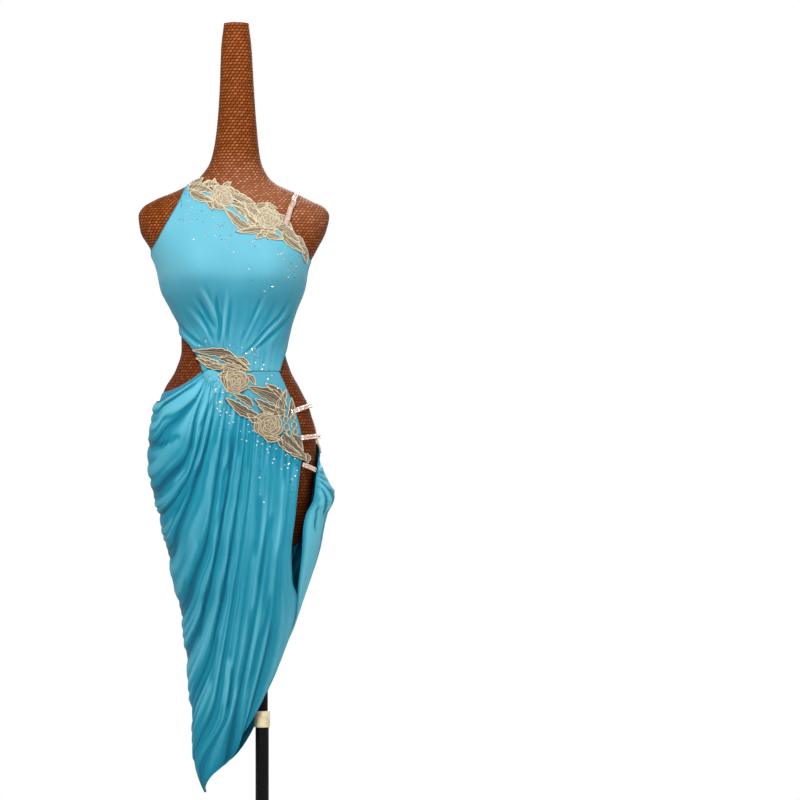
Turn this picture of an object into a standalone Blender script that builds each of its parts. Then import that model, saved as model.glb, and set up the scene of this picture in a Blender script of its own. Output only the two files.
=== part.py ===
"""A draped one-shoulder salsa dress on a limbless dress form with a pole stand.

Run with: blender --background --python part.py

Sizes are in millimetres and are turned into metres when a mesh is made.
+Z is up, the front faces -Y, and +X is the wearer's left.  The origin is on
the floor below the middle of the form.  Places on the form and on the skirt
are given by a turn round the body, in degrees, and a height: a turn of 0 is
the wearer's left side, 90 the centre front, 180 the right side and 270 the
centre back.
"""

import math
from collections import namedtuple
from itertools import groupby

import bpy
import numpy as np

MM = 0.001
TURN_REACH = 1.6  # millimetres along the body for a degree of turn, about

# ---------------------------------------------------------------- stand sizes
POLE_X = 58.0
PLATE_RADIUS = 185.0
PLATE_THICKNESS = 10.0
PLATE_EDGE_ROUND = 3.0
OUTER_TUBE_RADIUS = 14.0
OUTER_TUBE_BORE = 12.5
OUTER_TUBE_TOP = 286.0
INNER_TUBE_RADIUS = 12.0
INNER_TUBE_BOTTOM = 82.0
INNER_TUBE_TOP = 770.0
COLLAR_RADIUS = 16.5
COLLAR_BOTTOM = 259.0
COLLAR_TOP = 293.0
FIT_GAP = 0.4

# ---------------------------------------------------------------- cloth sizes
CLOTH = 1.3
LACE = 1.2
STRAP_WIDTH = 10.0
STRAP_THICKNESS = 2.2
BODICE_LIFT = 2.7
YOKE_LIFT = 2.3
BAND_LIFT = 0.9
BAND_WALL = 1.0
SKIRT_LIFT = 0.6
SEAM_GAP = 0.3
VIEW_POINTS = 14  # points of a path for each stretch drawn from the front or the back
BODICE_STEPS = 13  # rows of facets from the neckline to the waist
SKIRT_STEPS = 14  # rows of facets from the gathers to the side seam
OVER_CLOTH = 1.3

# One row for each level of the form, from the neck to the cut through the thighs.
Section = namedtuple("Section", "height left right front back squareness")
FORM_SECTIONS = [
    Section(1735, -22, 30, 26, 26, 2.0),
    Section(1684, -28, 36, 32, 32, 2.0),
    Section(1600, -31, 41, 36, 36, 2.0),
    Section(1516, -37, 47, 42, 42, 2.0),
    Section(1449, -49, 55, 50, 53, 2.0),
    Section(1415, -70, 70, 57, 62, 1.9),
    Section(1399, -91, 87, 61, 68, 1.8),
    Section(1382, -124, 123, 66, 74, 1.75),
    Section(1365, -165, 157, 71, 80, 1.8),
    Section(1348, -192, 190, 76, 86, 2.0),
    Section(1331, -201, 199, 82, 90, 2.2),
    Section(1298, -197, 192, 96, 96, 2.4),
    Section(1260, -176, 173, 107, 99, 2.4),
    Section(1218, -160, 152, 111, 98, 2.3),
    Section(1176, -151, 143, 107, 93, 2.2),
    Section(1134, -130, 127, 97, 86, 2.2),
    Section(1092, -112, 114, 90, 80, 2.2),
    Section(1050, -111, 106, 87, 77, 2.2),
    Section(1008, -123, 117, 90, 84, 2.2),
    Section(966, -147, 139, 94, 98, 2.2),
    Section(924, -159, 158, 96, 112, 2.2),
    Section(861, -166, 171, 96, 124, 2.3),
    Section(819, -167, 170, 95, 123, 2.3),
    Section(777, -160, 166, 94, 116, 2.4),
    Section(693, -144, 152, 90, 98, 2.4),
    Section(664, -134, 142, 87, 92, 2.4),
    Section(648, -128, 136, 84, 87, 2.4),
    Section(640, -120, 128, 78, 81, 2.4),
]
BUST_HEIGHT = 1216.0
BUST_SPREAD = 80.0
BUST_DEPTH = 28.0
BUST_WIDTH = 56.0
BUST_TALL = 62.0

# The level of the skirt's hollows: close to the form at the hips, then a bag
# that narrows to the point of the hem, with a flare at the wearer's left thigh.
SKIRT_SECTIONS = [
    Section(1030, -121, 114, 93, 84, 2.2),
    Section(1006, -128, 122, 95, 89, 2.2),
    Section(966, -152, 144, 99, 103, 2.2),
    Section(945, -161, 154, 100, 110, 2.2),
    Section(903, -168, 168, 101, 123, 2.3),
    Section(861, -173, 174, 102, 130, 2.3),
    Section(824, -175, 175, 102, 131, 2.3),
    Section(790, -171, 187, 102, 130, 2.3),
    Section(742, -162, 206, 103, 125, 2.3),
    Section(707, -152, 190, 104, 120, 2.3),
    Section(676, -146, 182, 103, 116, 2.3),
    Section(636, -135, 174, 101, 110, 2.2),
    Section(567, -122, 152, 93, 99, 2.1),
    Section(525, -110, 138, 87, 92, 2.0),
    Section(483, -103, 123, 80, 85, 2.0),
    Section(441, -98, 107, 73, 77, 2.0),
    Section(399, -93, 92, 65, 68, 2.0),
    Section(357, -90, 78, 57, 59, 2.0),
    Section(315, -86, 64, 49, 50, 2.0),
    Section(273, -82, 50, 41, 41, 2.0),
    Section(231, -81, 27, 33, 33, 2.0),
    Section(189, -78, -6, 25, 25, 2.0),
    Section(158, -70, -28, 19, 19, 2.0),
    Section(118, -54, -36, 11, 11, 2.0),
]

# A place is (seen from, millimetres across, height), or ("turn", degrees, height).
# One row for each hollow between two folds, from the cut-out edge at the hip to
# the edge of the slit: the height of the fold that follows it, and its path from
# under the lace to the side or the hem.
Fold = namedtuple("Fold", "name crest path")
FRONT_FOLDS = [
    Fold("cutout", 8, [("front", -64, 1000), ("front", -93, 977), ("front", -126, 955),
                       ("turn", 158, 943), ("turn", 180, 940)]),
    Fold("waist", 10, [("front", -61, 996), ("front", -100, 965), ("front", -138, 938),
                      ("turn", 158, 919), ("turn", 180, 915)]),
    Fold("high_hip", 12, [("front", -58, 991), ("front", -81, 945), ("front", -131, 895),
                          ("turn", 158, 856), ("turn", 180, 850)]),
    Fold("hip", 11, [("front", -53, 986), ("front", -79, 916), ("front", -96, 832),
                    ("front", -138, 784), ("turn", 158, 764), ("turn", 180, 758)]),
    Fold("low_hip", 11, [("front", -46, 980), ("front", -66, 882), ("front", -92, 790),
                        ("front", -120, 740), ("turn", 158, 713), ("turn", 180, 706)]),
    Fold("thigh", 12, [("front", -36, 973), ("front", -58, 852), ("front", -84, 765),
                       ("front", -112, 690), ("turn", 158, 641), ("turn", 180, 632)]),
    Fold("long_1", 12, [("front", -13, 957), ("front", -36, 795), ("front", -58, 650),
                        ("front", -84, 570), ("turn", 160, 517), ("turn", 180, 505)]),
    Fold("long_2", 11, [("front", 10, 938), ("front", -12, 780), ("front", -42, 600),
                       ("front", -66, 490), ("turn", 160, 427), ("turn", 180, 412)]),
    Fold("long_3", 10, [("front", 29, 918), ("front", 8, 750), ("front", -22, 545),
                       ("front", -48, 420), ("turn", 162, 319), ("turn", 180, 298)]),
    Fold("point", 9, [("front", 42, 903), ("front", 24, 720), ("front", -8, 500),
                      ("front", -38, 320), ("turn", 180, 168)]),
    Fold("hem_1", 9, [("front", 56, 888), ("front", 40, 700), ("front", 12, 480),
                      ("front", -18, 290), ("turn", 100, 125)]),
    Fold("hem_2", 8, [("front", 81, 861), ("front", 64, 670), ("front", 38, 480),
                      ("front", 2, 300), ("front", -20, 188)]),
    Fold("hem_3", 7, [("front", 110, 840), ("front", 93, 665), ("front", 74, 480),
                      ("front", 34, 310), ("front", 16, 250)]),
    Fold("slit_edge", 0, [("front", 137, 819), ("front", 125, 715), ("front", 115, 625),
                          ("front", 117, 570), ("turn", 26, 530), ("turn", 12, 480),
                          ("turn", 5, 430), ("turn", 10, 384), ("turn", 28, 330)]),
]
BACK_FOLDS = [
    Fold("cutout", 8, [("back", 29, 1015), ("back", -25, 984), ("back", -90, 965),
                       ("turn", 203, 944), ("turn", 180, 940)]),
    Fold("waist", 10, [("back", 31, 1007), ("back", -25, 975), ("back", -90, 940),
                       ("turn", 203, 920), ("turn", 180, 915)]),
    Fold("high_hip", 13, [("back", 38, 996), ("back", -8, 922), ("back", -83, 870),
                          ("turn", 203, 856), ("turn", 180, 850)]),
    Fold("hip", 13, [("back", 48, 981), ("back", 8, 889), ("back", -68, 812),
                    ("turn", 203, 764), ("turn", 180, 758)]),
    Fold("low_hip", 14, [("back", 63, 963), ("back", 30, 868), ("back", -57, 764),
                         ("turn", 203, 713), ("turn", 180, 706)]),
    Fold("thigh", 15, [("back", 80, 945), ("back", 53, 842), ("back", -36, 714),
                       ("turn", 203, 641), ("turn", 180, 632)]),
    Fold("long_1", 15, [("back", 100, 925), ("back", 79, 805), ("back", 20, 700),
                        ("back", -60, 590), ("turn", 201, 517), ("turn", 180, 505)]),
    Fold("long_2", 14, [("back", 120, 905), ("back", 106, 770), ("back", 50, 650),
                        ("back", -40, 510), ("turn", 201, 427), ("turn", 180, 412)]),
    Fold("long_3", 12, [("back", 139, 885), ("back", 132, 735), ("back", 70, 570),
                       ("back", -20, 410), ("turn", 199, 318), ("turn", 180, 298)]),
    Fold("point", 10, [("back", 152, 872), ("back", 152, 712), ("back", 90, 530),
                      ("back", 0, 340), ("turn", 180, 168)]),
    Fold("hem_1", 9, [("back", 162, 860), ("back", 169, 700), ("back", 108, 510),
                      ("back", 20, 310), ("turn", 262, 125)]),
    Fold("hem_2", 7, [("turn", 340, 846), ("turn", 345, 708), ("turn", 334, 500),
                      ("turn", 322, 330), ("turn", 320, 188)]),
    Fold("flare", 7, [("turn", 356, 832), ("turn", 368, 738), ("turn", 362, 560),
                      ("turn", 344, 400), ("turn", 325, 250)]),
    Fold("slit_edge", 0, [("turn", 367, 824), ("turn", 391, 780), ("turn", 402, 740),
                          ("turn", 404, 690), ("turn", 402, 650), ("turn", 398, 610),
                          ("turn", 392, 565), ("turn", 383, 525), ("turn", 369, 480),
                          ("turn", 361, 430), ("turn", 350, 384), ("turn", 329, 330)]),
]
# Height of a fold as a share of its crest: along its path, and across it from one
# hollow to the next, where it rises softly and falls off steeply.
FOLD_ALONG = [(0.0, 0.06), (0.12, 0.35), (0.3, 0.9), (0.5, 1.0), (0.8, 0.95), (1.0, 0.7)]
FOLD_ACROSS = [(0.0, 0.0), (0.42, 0.55), (0.74, 1.0)]

# ---------------------------------------------------------------- bodice
# Hollows between the gathered folds, from the cut-out edge under the right arm to
# the left side: each starts on the armhole or the neckline and ends at the waist.
BODICE_FOLDS = [
    Fold("cutout", 4, [("turn", 204, 1174), ("turn", 196, 1120), ("turn", 180, 1092),
                       ("front", -90, 1061), ("front", -75, 1036), ("front", -64, 1006)]),
    Fold("armhole_1", 5, [("turn", 188, 1230), ("turn", 174, 1160), ("front", -112, 1110),
                          ("front", -78, 1064), ("front", -56, 1006)]),
    Fold("armhole_2", 5, [("front", -152, 1287), ("front", -138, 1200), ("front", -98, 1120),
                          ("front", -65, 1066), ("front", -49, 1006)]),
    Fold("armhole_3", 6, [("front", -135, 1318), ("front", -122, 1220), ("front", -80, 1125),
                          ("front", -53, 1068), ("front", -42, 1006)]),
    Fold("armhole_4", 6, [("front", -114, 1356), ("front", -100, 1230), ("front", -62, 1130),
                          ("front", -43, 1070), ("front", -35, 1006)]),
    Fold("shoulder", 6, [("front", -96, 1391), ("front", -76, 1240), ("front", -44, 1130),
                         ("front", -34, 1070), ("front", -27, 1006)]),
    Fold("neck_1", 5, [("front", -68, 1390), ("front", -48, 1240), ("front", -27, 1130),
                       ("front", -24, 1070), ("front", -19, 1006)]),
    Fold("neck_2", 3, [("front", -40, 1376), ("front", -20, 1240), ("front", -10, 1130),
                       ("front", -14, 1068), ("front", -11, 1006)]),
    Fold("neck_3", 3, [("front", -6, 1358), ("front", 8, 1240), ("front", 8, 1130),
                       ("front", -2, 1064), ("front", -2, 1006)]),
    Fold("neck_4", 5, [("front", 26, 1342), ("front", 36, 1240), ("front", 30, 1130),
                       ("front", 11, 1060), ("front", 8, 1006)]),
    Fold("neck_5", 6, [("front", 56, 1328), ("front", 62, 1235), ("front", 52, 1130),
                       ("front", 24, 1058), ("front", 20, 1006)]),
    Fold("neck_6", 6, [("front", 84, 1313), ("front", 88, 1230), ("front", 74, 1130),
                       ("front", 38, 1056), ("front", 34, 1006)]),
    Fold("neck_7", 5, [("front", 112, 1298), ("front", 114, 1220), ("front", 96, 1128),
                       ("front", 54, 1054), ("front", 50, 1006)]),
    Fold("neck_8", 4, [("front", 142, 1270), ("front", 136, 1205), ("front", 114, 1126),
                       ("front", 76, 1054), ("front", 68, 1006)]),
    Fold("left_side", 0, [("front", 156, 1235), ("turn", 3, 1190), ("turn", -3, 1126),
                          ("turn", 3, 1070), ("front", 98, 1030), ("front", 91, 1006)]),
]
# The gathers start below the bust and flatten at the waist seam.
GATHER_ALONG = [(0.0, 0.0), (0.5, 0.0), (0.62, 0.5), (0.74, 1.0), (0.82, 0.8), (0.9, 0.25),
                (1.0, 0.1)]
BODICE_TOP = [
    ("turn", 204, 1174), ("turn", 188, 1230), ("front", -168, 1262), ("front", -159, 1275),
    ("front", -135, 1318), ("front", -114, 1356), ("front", -96, 1391), ("front", -90, 1394),
    ("front", -68, 1390), ("front", -40, 1376), ("front", -6, 1358), ("front", 26, 1342),
    ("front", 56, 1328), ("front", 84, 1313), ("front", 112, 1298), ("front", 142, 1270),
    ("front", 156, 1235),
]

YOKE_FRONT_TOP = [("front", -62, 1005), ("front", 0, 1004), ("front", 90, 1005)]
YOKE_FRONT_FOOT = [
    ("front", -63, 998), ("front", -22, 958), ("front", 14, 926), ("front", 50, 884),
    ("front", 84, 848), ("front", 138, 822),
]
# The hip band under the drape, from the front waist round the right hip.
HIP_BAND_TOP = [
    ("front", -66, 1005), ("front", -91, 986), ("front", -116, 971), ("turn", 180, 958),
    ("back", -126, 978), ("back", -51, 993), ("back", 12, 1012), ("back", 31, 1021),
]
HIP_BAND_DEPTH = 26.0

# ---------------------------------------------------------------- lace
# One row across the lace: its upper edge and its lower edge.
Across = namedtuple("Across", "upper lower")
LACE_NECKLINE = [
    Across(("front", -90, 1402), ("front", -96, 1372)),
    Across(("front", -60, 1402), ("front", -68, 1365)),
    Across(("front", -30, 1393), ("front", -52, 1342)),
    Across(("front", -10, 1390), ("front", -26, 1346)),
    Across(("front", 20, 1374), ("front", -9, 1310)),
    Across(("front", 56, 1346), ("front", 14, 1288)),
    Across(("front", 92, 1338), ("front", 47, 1277)),
    Across(("front", 121, 1310), ("front", 81, 1280)),
    Across(("front", 137, 1283), ("front", 106, 1268)),
    Across(("front", 146, 1256), ("front", 130, 1252)),
    Across(("front", 150, 1236), ("front", 141, 1232)),
]
LACE_WAIST = [
    Across(("front", -80, 1047), ("front", -84, 1038)),
    Across(("front", -50, 1040), ("front", -66, 1020)),
    Across(("front", -8, 1022), ("front", -36, 990)),
    Across(("front", 28, 1004), ("front", -22, 958)),
    Across(("front", 44, 980), ("front", -6, 934)),
    Across(("front", 78, 962), ("front", 28, 912)),
    Across(("front", 104, 944), ("front", 44, 882)),
    Across(("front", 113, 920), ("front", 66, 866)),
    Across(("front", 124, 896), ("front", 92, 852)),
    Across(("front", 133, 868), ("front", 118, 832)),
    Across(("front", 148, 822), ("front", 140, 812)),
]
LACE_HIP_BACK = [
    Across(("back", 44, 1024), ("back", 27, 1010)),
    Across(("back", 72, 996), ("back", 52, 972)),
    Across(("back", 104, 968), ("back", 84, 942)),
    Across(("back", 130, 953), ("back", 108, 928)),
    Across(("turn", 336, 936), ("back", 130, 908)),
    Across(("turn", 354, 912), ("turn", 334, 886)),
    Across(("turn", 363, 884), ("turn", 345, 866)),
    Across(("turn", 367, 850), ("turn", 352, 846)),
    Across(("turn", 366, 836), ("turn", 358, 836)),
]

# ---------------------------------------------------------------- straps
# Where each strap runs: places along it, each with how far it stands off the form.
Stop = namedtuple("Stop", "place lift")
STRAPS = {
    "strap_shoulder_left": [
        Stop(("front", 104, 1306), 7.2), Stop(("front", 114, 1338), 6.6),
        Stop(("turn", 12, 1377), 2.0), Stop(("turn", -12, 1379), 2.0),
        Stop(("back", 112, 1362), 2.6), Stop(("back", 89, 1345), 5.4),
        Stop(("back", 59, 1324), 4.2), Stop(("back", -36, 1263), 2.2),
        Stop(("back", -107, 1214), 2.2), Stop(("back", -128, 1192), 2.4),
        Stop(("turn", 202.8, 1181), 2.6),
    ],
    "strap_shoulder_right": [
        Stop(("turn", 192, 1400), 2.4), Stop(("back", -64, 1411), 2.2),
        Stop(("back", -18, 1406), 2.2), Stop(("back", 29, 1380), 2.2),
        Stop(("back", 70, 1356), 2.0), Stop(("back", 98, 1337), 2.0),
        Stop(("back", 139, 1301), 2.2), Stop(("back", 158, 1278), 2.2),
        Stop(("back", 162, 1250), 2.2), Stop(("back", 142, 1196), 2.2),
        Stop(("back", 127, 1152), 2.2), Stop(("back", 110, 1104), 2.2),
        Stop(("back", 94, 1072), 2.2), Stop(("back", 70, 1047), 2.2),
        Stop(("back", 44, 1030), 2.4),
    ],
    "strap_side": [
        Stop(("turn", 206.2, 1171), 1.8), Stop(("back", -126, 1160), 1.6),
        Stop(("back", -110, 1132), 1.4),
        Stop(("back", -92, 1101), 1.4), Stop(("back", -66, 1079), 1.4),
        Stop(("back", -38, 1060), 1.4), Stop(("back", -4, 1042), 1.4),
        Stop(("back", 28, 1025), 1.6),
    ],
    "hip_strap_1": [
        Stop(("front", 116, 920), 4.4), Stop(("front", 140, 928), 3.0),
        Stop(("turn", 10, 932), 3.0), Stop(("turn", -10, 930), 8.0),
    ],
    "hip_strap_2": [
        Stop(("front", 132, 866), 9.4), Stop(("front", 154, 868), 4.0),
        Stop(("turn", 14, 869), 4.0), Stop(("turn", 0, 868), 9.0),
    ],
    "hip_strap_3": [
        Stop(("front", 134, 811), 13.0), Stop(("front", 148, 805), 13.0),
        Stop(("front", 158, 799), 13.0),
    ],
}


# ---------------------------------------------------------------- curves
def smooth_curve(stations, values, where):
    """Values between the stations on a curve that never overshoots them."""
    stations = np.asarray(stations, float)
    values = np.asarray(values, float)
    widths = np.diff(stations)
    slopes = np.diff(values) / widths
    tangents = np.zeros(len(stations))
    for k in range(1, len(slopes)):
        before, after = slopes[k - 1], slopes[k]
        if before * after > 0:
            weight_before = 2 * widths[k] + widths[k - 1]
            weight_after = widths[k] + 2 * widths[k - 1]
            total = weight_before + weight_after
            tangents[k] = total / (weight_before / before + weight_after / after)
    tangents[0], tangents[-1] = slopes[0], slopes[-1]
    where = np.clip(where, stations[0], stations[-1])
    span = np.clip(np.searchsorted(stations, where, side="right") - 1, 0, len(slopes) - 1)
    width = widths[span]
    t = (where - stations[span]) / width
    rise = values[span + 1] - values[span]
    start, end = tangents[span] * width, tangents[span + 1] * width
    return values[span] + t * (start + t * (3 * rise - 2 * start - end + t * (start + end - 2 * rise)))


def along(places, count, reach=TURN_REACH):
    """Evenly spaced places on a smooth path through places such as (turn, height)."""
    places = np.asarray(places, float)
    steps = np.linalg.norm(np.diff(places, axis=0) * [reach, 1.0], axis=1)
    places = places[np.concatenate([[True], steps > 0])]
    lengths = np.concatenate([[0.0], np.cumsum(steps[steps > 0])])
    where = np.linspace(0.0, lengths[-1], count)
    return np.stack([smooth_curve(lengths, places[:, k], where) for k in (0, 1)], axis=-1)


# ---------------------------------------------------------------- surfaces
class Body:
    """A rounded surface through level sections, reached by turn and height."""

    def __init__(self, sections, bust=False):
        rows = sorted(sections)
        self.table = {
            name: np.array([getattr(row, name) for row in rows], float)
            for name in Section._fields
        }
        self.bust = bust

    def size(self, name, height):
        return smooth_curve(self.table["height"], self.table[name], height)

    def point(self, turn, height):
        turn, height = np.broadcast_arrays(np.radians(turn), np.asarray(height, float))
        left, right = self.size("left", height), self.size("right", height)
        power = 2 / self.size("squareness", height)
        across, deep = np.cos(turn), np.sin(turn)
        depth = np.where(deep > 0, self.size("front", height), self.size("back", height))
        x = (left + right) / 2 + (right - left) / 2 * np.sign(across) * abs(across) ** power
        y = -np.sign(deep) * depth * abs(deep) ** power
        if self.bust:
            swell = np.exp(-((abs(x) - BUST_SPREAD) / BUST_WIDTH) ** 2
                           - ((height - BUST_HEIGHT) / BUST_TALL) ** 2)
            y = y - BUST_DEPTH * swell * np.clip(deep * 2.2, 0, 1)
        return np.stack([x, y, height], axis=-1)

    def normal(self, turn, height):
        step = 0.5
        round_body = self.point(turn + step, height) - self.point(turn - step, height)
        upward = self.point(turn, height + step) - self.point(turn, height - step)
        out = np.cross(upward, round_body)
        return out / np.linalg.norm(out, axis=-1, keepdims=True)

    def lifted(self, turn, height, lift):
        lift = np.broadcast_to(lift, np.broadcast(turn, height).shape)
        return self.point(turn, height) + self.normal(turn, height) * lift[..., None]

    def place(self, spot):
        """(turn, height) of a place that is seen from the front or the back."""
        view, across, height = spot
        if view == "turn":
            return across, height
        left, right = self.size("left", height), self.size("right", height)
        share = (across - (left + right) / 2) / ((right - left) / 2)
        share = float(np.clip(share, -1, 1))
        power = self.size("squareness", height) / 2
        turn = math.degrees(math.acos(math.copysign(abs(share) ** power, share)))
        return (turn if view == "front" else 360 - turn), height

    def stations(self, spots):
        """Places of the spots, with the turn running on past a full circle."""
        found = [self.place(spot) for spot in spots]
        turns = np.unwrap([turn for turn, _ in found], period=360)
        return np.stack([turns, [height for _, height in found]], axis=-1)

    def places(self, spots):
        """Stations, with more between spots in a row that are seen from one side."""
        dense = []
        for view, run in groupby(spots, key=lambda spot: spot[0]):
            flat = [spot[1:] for spot in run]
            if view != "turn" and len(flat) > 1:
                flat = along(flat, VIEW_POINTS * (len(flat) - 1) + 1, reach=1.0)
            dense += [(view, *spot) for spot in flat]
        return self.stations(dense)


# ---------------------------------------------------------------- meshes
def material(name, colour, roughness, metallic=0.0):
    made = bpy.data.materials.new(name)
    made.use_nodes = True
    shader = made.node_tree.nodes["Principled BSDF"]
    shader.inputs["Base Color"].default_value = (*colour, 1.0)
    shader.inputs["Roughness"].default_value = roughness
    shader.inputs["Metallic"].default_value = metallic
    return made


def add_object(name, points, faces, finish):
    mesh = bpy.data.meshes.new(name)
    mesh.from_pydata([tuple(point * MM) for point in points], [], faces)
    mesh.validate()
    mesh.shade_smooth()
    mesh.set_sharp_from_angle(angle=math.radians(40))
    mesh.materials.append(finish)
    made = bpy.data.objects.new(name, mesh)
    bpy.context.scene.collection.objects.link(made)
    return made


def wall(name, inner, outer, finish):
    """A closed sheet between two grids of points with the same rows and columns."""
    rows, columns = outer.shape[:2]
    index = np.arange(rows * columns).reshape(rows, columns)
    behind = rows * columns
    faces = []
    for i in range(rows - 1):
        for j in range(columns - 1):
            a, b = index[i, j], index[i, j + 1]
            c, d = index[i + 1, j + 1], index[i + 1, j]
            for triangle in ((a, b, c), (a, c, d)):
                faces.append(triangle)
                faces.append(tuple(behind + corner for corner in reversed(triangle)))
    rim = list(index[0, :]) + list(index[1:, -1])
    rim += list(index[-1, -2::-1]) + list(index[-2:0:-1, 0])
    for here, after in zip(rim, rim[1:] + rim[:1]):
        faces.append((after, here, behind + here))
        faces.append((after, behind + here, behind + after))
    points = np.concatenate([outer.reshape(-1, 3), inner.reshape(-1, 3)])
    if np.linalg.det(points[np.array(faces)]).sum() < 0:
        faces = [face[::-1] for face in faces]
    faces = [tuple(int(corner) for corner in face) for face in faces]
    return add_object(name, points, faces, finish)


def closed_rings(name, rings, finish):
    """A solid through rings of points, closed by a flat face at each end."""
    count = len(rings[0])
    faces = []
    for k in range(len(rings) - 1):
        for j in range(count):
            after = (j + 1) % count
            faces.append((k * count + j, k * count + after,
                          (k + 1) * count + after, (k + 1) * count + j))
    faces.append(tuple(reversed(range(count))))
    last = (len(rings) - 1) * count
    faces.append(tuple(range(last, last + count)))
    return add_object(name, np.concatenate(rings), faces, finish)


def turned(name, profile, finish, sides=40):
    """A closed turned piece about the pole from (radius, height) corners, outer side first."""
    angles = np.linspace(0, 2 * math.pi, sides, endpoint=False)
    rings = [np.stack([POLE_X + radius * np.cos(angles), radius * np.sin(angles),
                       np.full(sides, height)], axis=-1) for radius, height in profile]
    faces = []
    for k in range(len(rings)):
        nxt = (k + 1) % len(rings)
        for j in range(sides):
            after = (j + 1) % sides
            faces.append((k * sides + j, k * sides + after, nxt * sides + after, nxt * sides + j))
    return add_object(name, np.concatenate(rings), faces, finish)


# ---------------------------------------------------------------- stand
def base_plate(finish):
    inner = OUTER_TUBE_RADIUS - 2.0
    corner = PLATE_RADIUS - PLATE_EDGE_ROUND
    shoulder = PLATE_THICKNESS - PLATE_EDGE_ROUND
    turned("base_plate", [(inner, 0), (PLATE_RADIUS, 0), (PLATE_RADIUS, shoulder),
                          (corner, PLATE_THICKNESS), (inner, PLATE_THICKNESS)], finish, 64)


def outer_tube(finish):
    foot = PLATE_THICKNESS + SEAM_GAP
    turned("outer_tube", [(OUTER_TUBE_BORE, foot), (OUTER_TUBE_RADIUS, foot),
                          (OUTER_TUBE_RADIUS, OUTER_TUBE_TOP),
                          (OUTER_TUBE_BORE, OUTER_TUBE_TOP)], finish)


def collar(finish):
    inside = OUTER_TUBE_RADIUS + FIT_GAP
    cap = OUTER_TUBE_TOP + SEAM_GAP
    mouth = INNER_TUBE_RADIUS + FIT_GAP
    turned("collar", [(inside, COLLAR_BOTTOM), (COLLAR_RADIUS, COLLAR_BOTTOM),
                      (COLLAR_RADIUS, COLLAR_TOP), (mouth, COLLAR_TOP),
                      (mouth, cap), (inside, cap)], finish)


def inner_tube(finish):
    angles = np.linspace(0, 2 * math.pi, 40, endpoint=False)
    rings = [np.stack([POLE_X + INNER_TUBE_RADIUS * np.cos(angles),
                       INNER_TUBE_RADIUS * np.sin(angles), np.full(40, height)], axis=-1)
             for height in (INNER_TUBE_BOTTOM, INNER_TUBE_TOP)]
    closed_rings("inner_tube", rings, finish)


# ---------------------------------------------------------------- dress form
def dress_form(body, finish, sides=48):
    """The padded torso, with a blind socket in its underside for the tube."""
    turns = np.linspace(0, -360, sides, endpoint=False)
    heights = sorted(section.height for section in FORM_SECTIONS)
    between = [(a + b) / 2 for a, b in zip(heights, heights[1:]) if 30 < b - a]
    levels = sorted(heights + between)
    rings = [body.point(turns, height) for height in levels]
    form = closed_rings("form", rings, finish)
    angles = np.linspace(0, 2 * math.pi, 40, endpoint=False)
    bore = INNER_TUBE_RADIUS + FIT_GAP
    top = INNER_TUBE_TOP + FIT_GAP
    cut = [np.stack([POLE_X + bore * np.cos(angles), bore * np.sin(angles),
                     np.full(40, height)], axis=-1) for height in (levels[0] - 30, top)]
    cutter = closed_rings("socket_cutter", cut, finish)
    cutter.hide_render = True
    cutter.display_type = "WIRE"
    socket = form.modifiers.new("socket", "BOOLEAN")
    socket.operation = "DIFFERENCE"
    socket.object = cutter


# ---------------------------------------------------------------- cloth
def folded_grid(body, table, along_shares, steps_along):
    """Turns, heights and lifts over a panel, with columns on each hollow and fold."""
    share = np.linspace(0, 1, steps_along)
    hollows = [along(body.places(row.path), steps_along) for row in table]
    rise = smooth_curve(*zip(*along_shares), share)
    places, lifts = [], []
    for k in range(len(table) - 1):
        for part, height in FOLD_ACROSS:
            places.append((1 - part) * hollows[k] + part * hollows[k + 1])
            lifts.append(table[k].crest * rise * height)
    places.append(hollows[-1])
    lifts.append(np.zeros(steps_along))
    grid = np.stack(places, axis=1)
    return grid[..., 0], grid[..., 1], np.stack(lifts, axis=1)


def bodice(body, finish):
    turn, height, fold = folded_grid(body, BODICE_FOLDS, GATHER_ALONG, BODICE_STEPS)
    edge = along(body.places(BODICE_TOP), 400)
    top = np.stack([turn[0], height[0]], axis=-1)
    nearest = np.linalg.norm((top[:, None] - edge) * [TURN_REACH, 1.0], axis=-1).argmin(axis=1)
    fade = np.linspace(1, 0, len(turn))[:, None] ** 2
    turn = turn + fade * (edge[nearest, 0] - turn[0])
    height = height + fade * (edge[nearest, 1] - height[0])
    inner = body.lifted(turn, height, BODICE_LIFT + fold)
    outer = body.lifted(turn, height, BODICE_LIFT + CLOTH + fold)
    wall("bodice_front", inner, outer, finish)


def strip(name, body, first, second, lifts, finish, columns, rows):
    """A sheet between two edges; lifts holds its standing-off at the first and second."""
    share = np.linspace(0, 1, rows)[:, None, None]
    grid = (1 - share) * along(first, columns) + share * along(second, columns)
    turn, height = grid[..., 0], grid[..., 1]
    lift = np.broadcast_to(np.linspace(lifts[0], lifts[1], rows)[:, None], turn.shape)
    inner = body.lifted(turn, height, lift)
    outer = body.lifted(turn, height, lift + lifts[2])
    wall(name, inner, outer, finish)


def hip_pieces(body, front_finish, back_finish):
    top = body.places(YOKE_FRONT_TOP)
    foot = body.places(YOKE_FRONT_FOOT)
    strip("hip_yoke_front", body, top, foot, (YOKE_LIFT, YOKE_LIFT, CLOTH), front_finish,
          15, 7)
    band = body.places(HIP_BAND_TOP)
    lower = band - np.array([0.0, HIP_BAND_DEPTH])
    strip("hip_yoke_back", body, band, lower, (BAND_LIFT, BAND_LIFT, BAND_WALL), back_finish,
          29, 3)


def skirt_panel(name, body, table, side, finish):
    turn, height, lift = folded_grid(body, table, FOLD_ALONG, SKIRT_STEPS)
    inner = body.lifted(turn, height, SKIRT_LIFT + lift)
    outer = body.lifted(turn, height, SKIRT_LIFT + CLOTH + lift)
    apart = np.array([0.0, side * SEAM_GAP / 2, 0.0])
    wall(name, inner + apart, outer + apart, finish)


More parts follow.
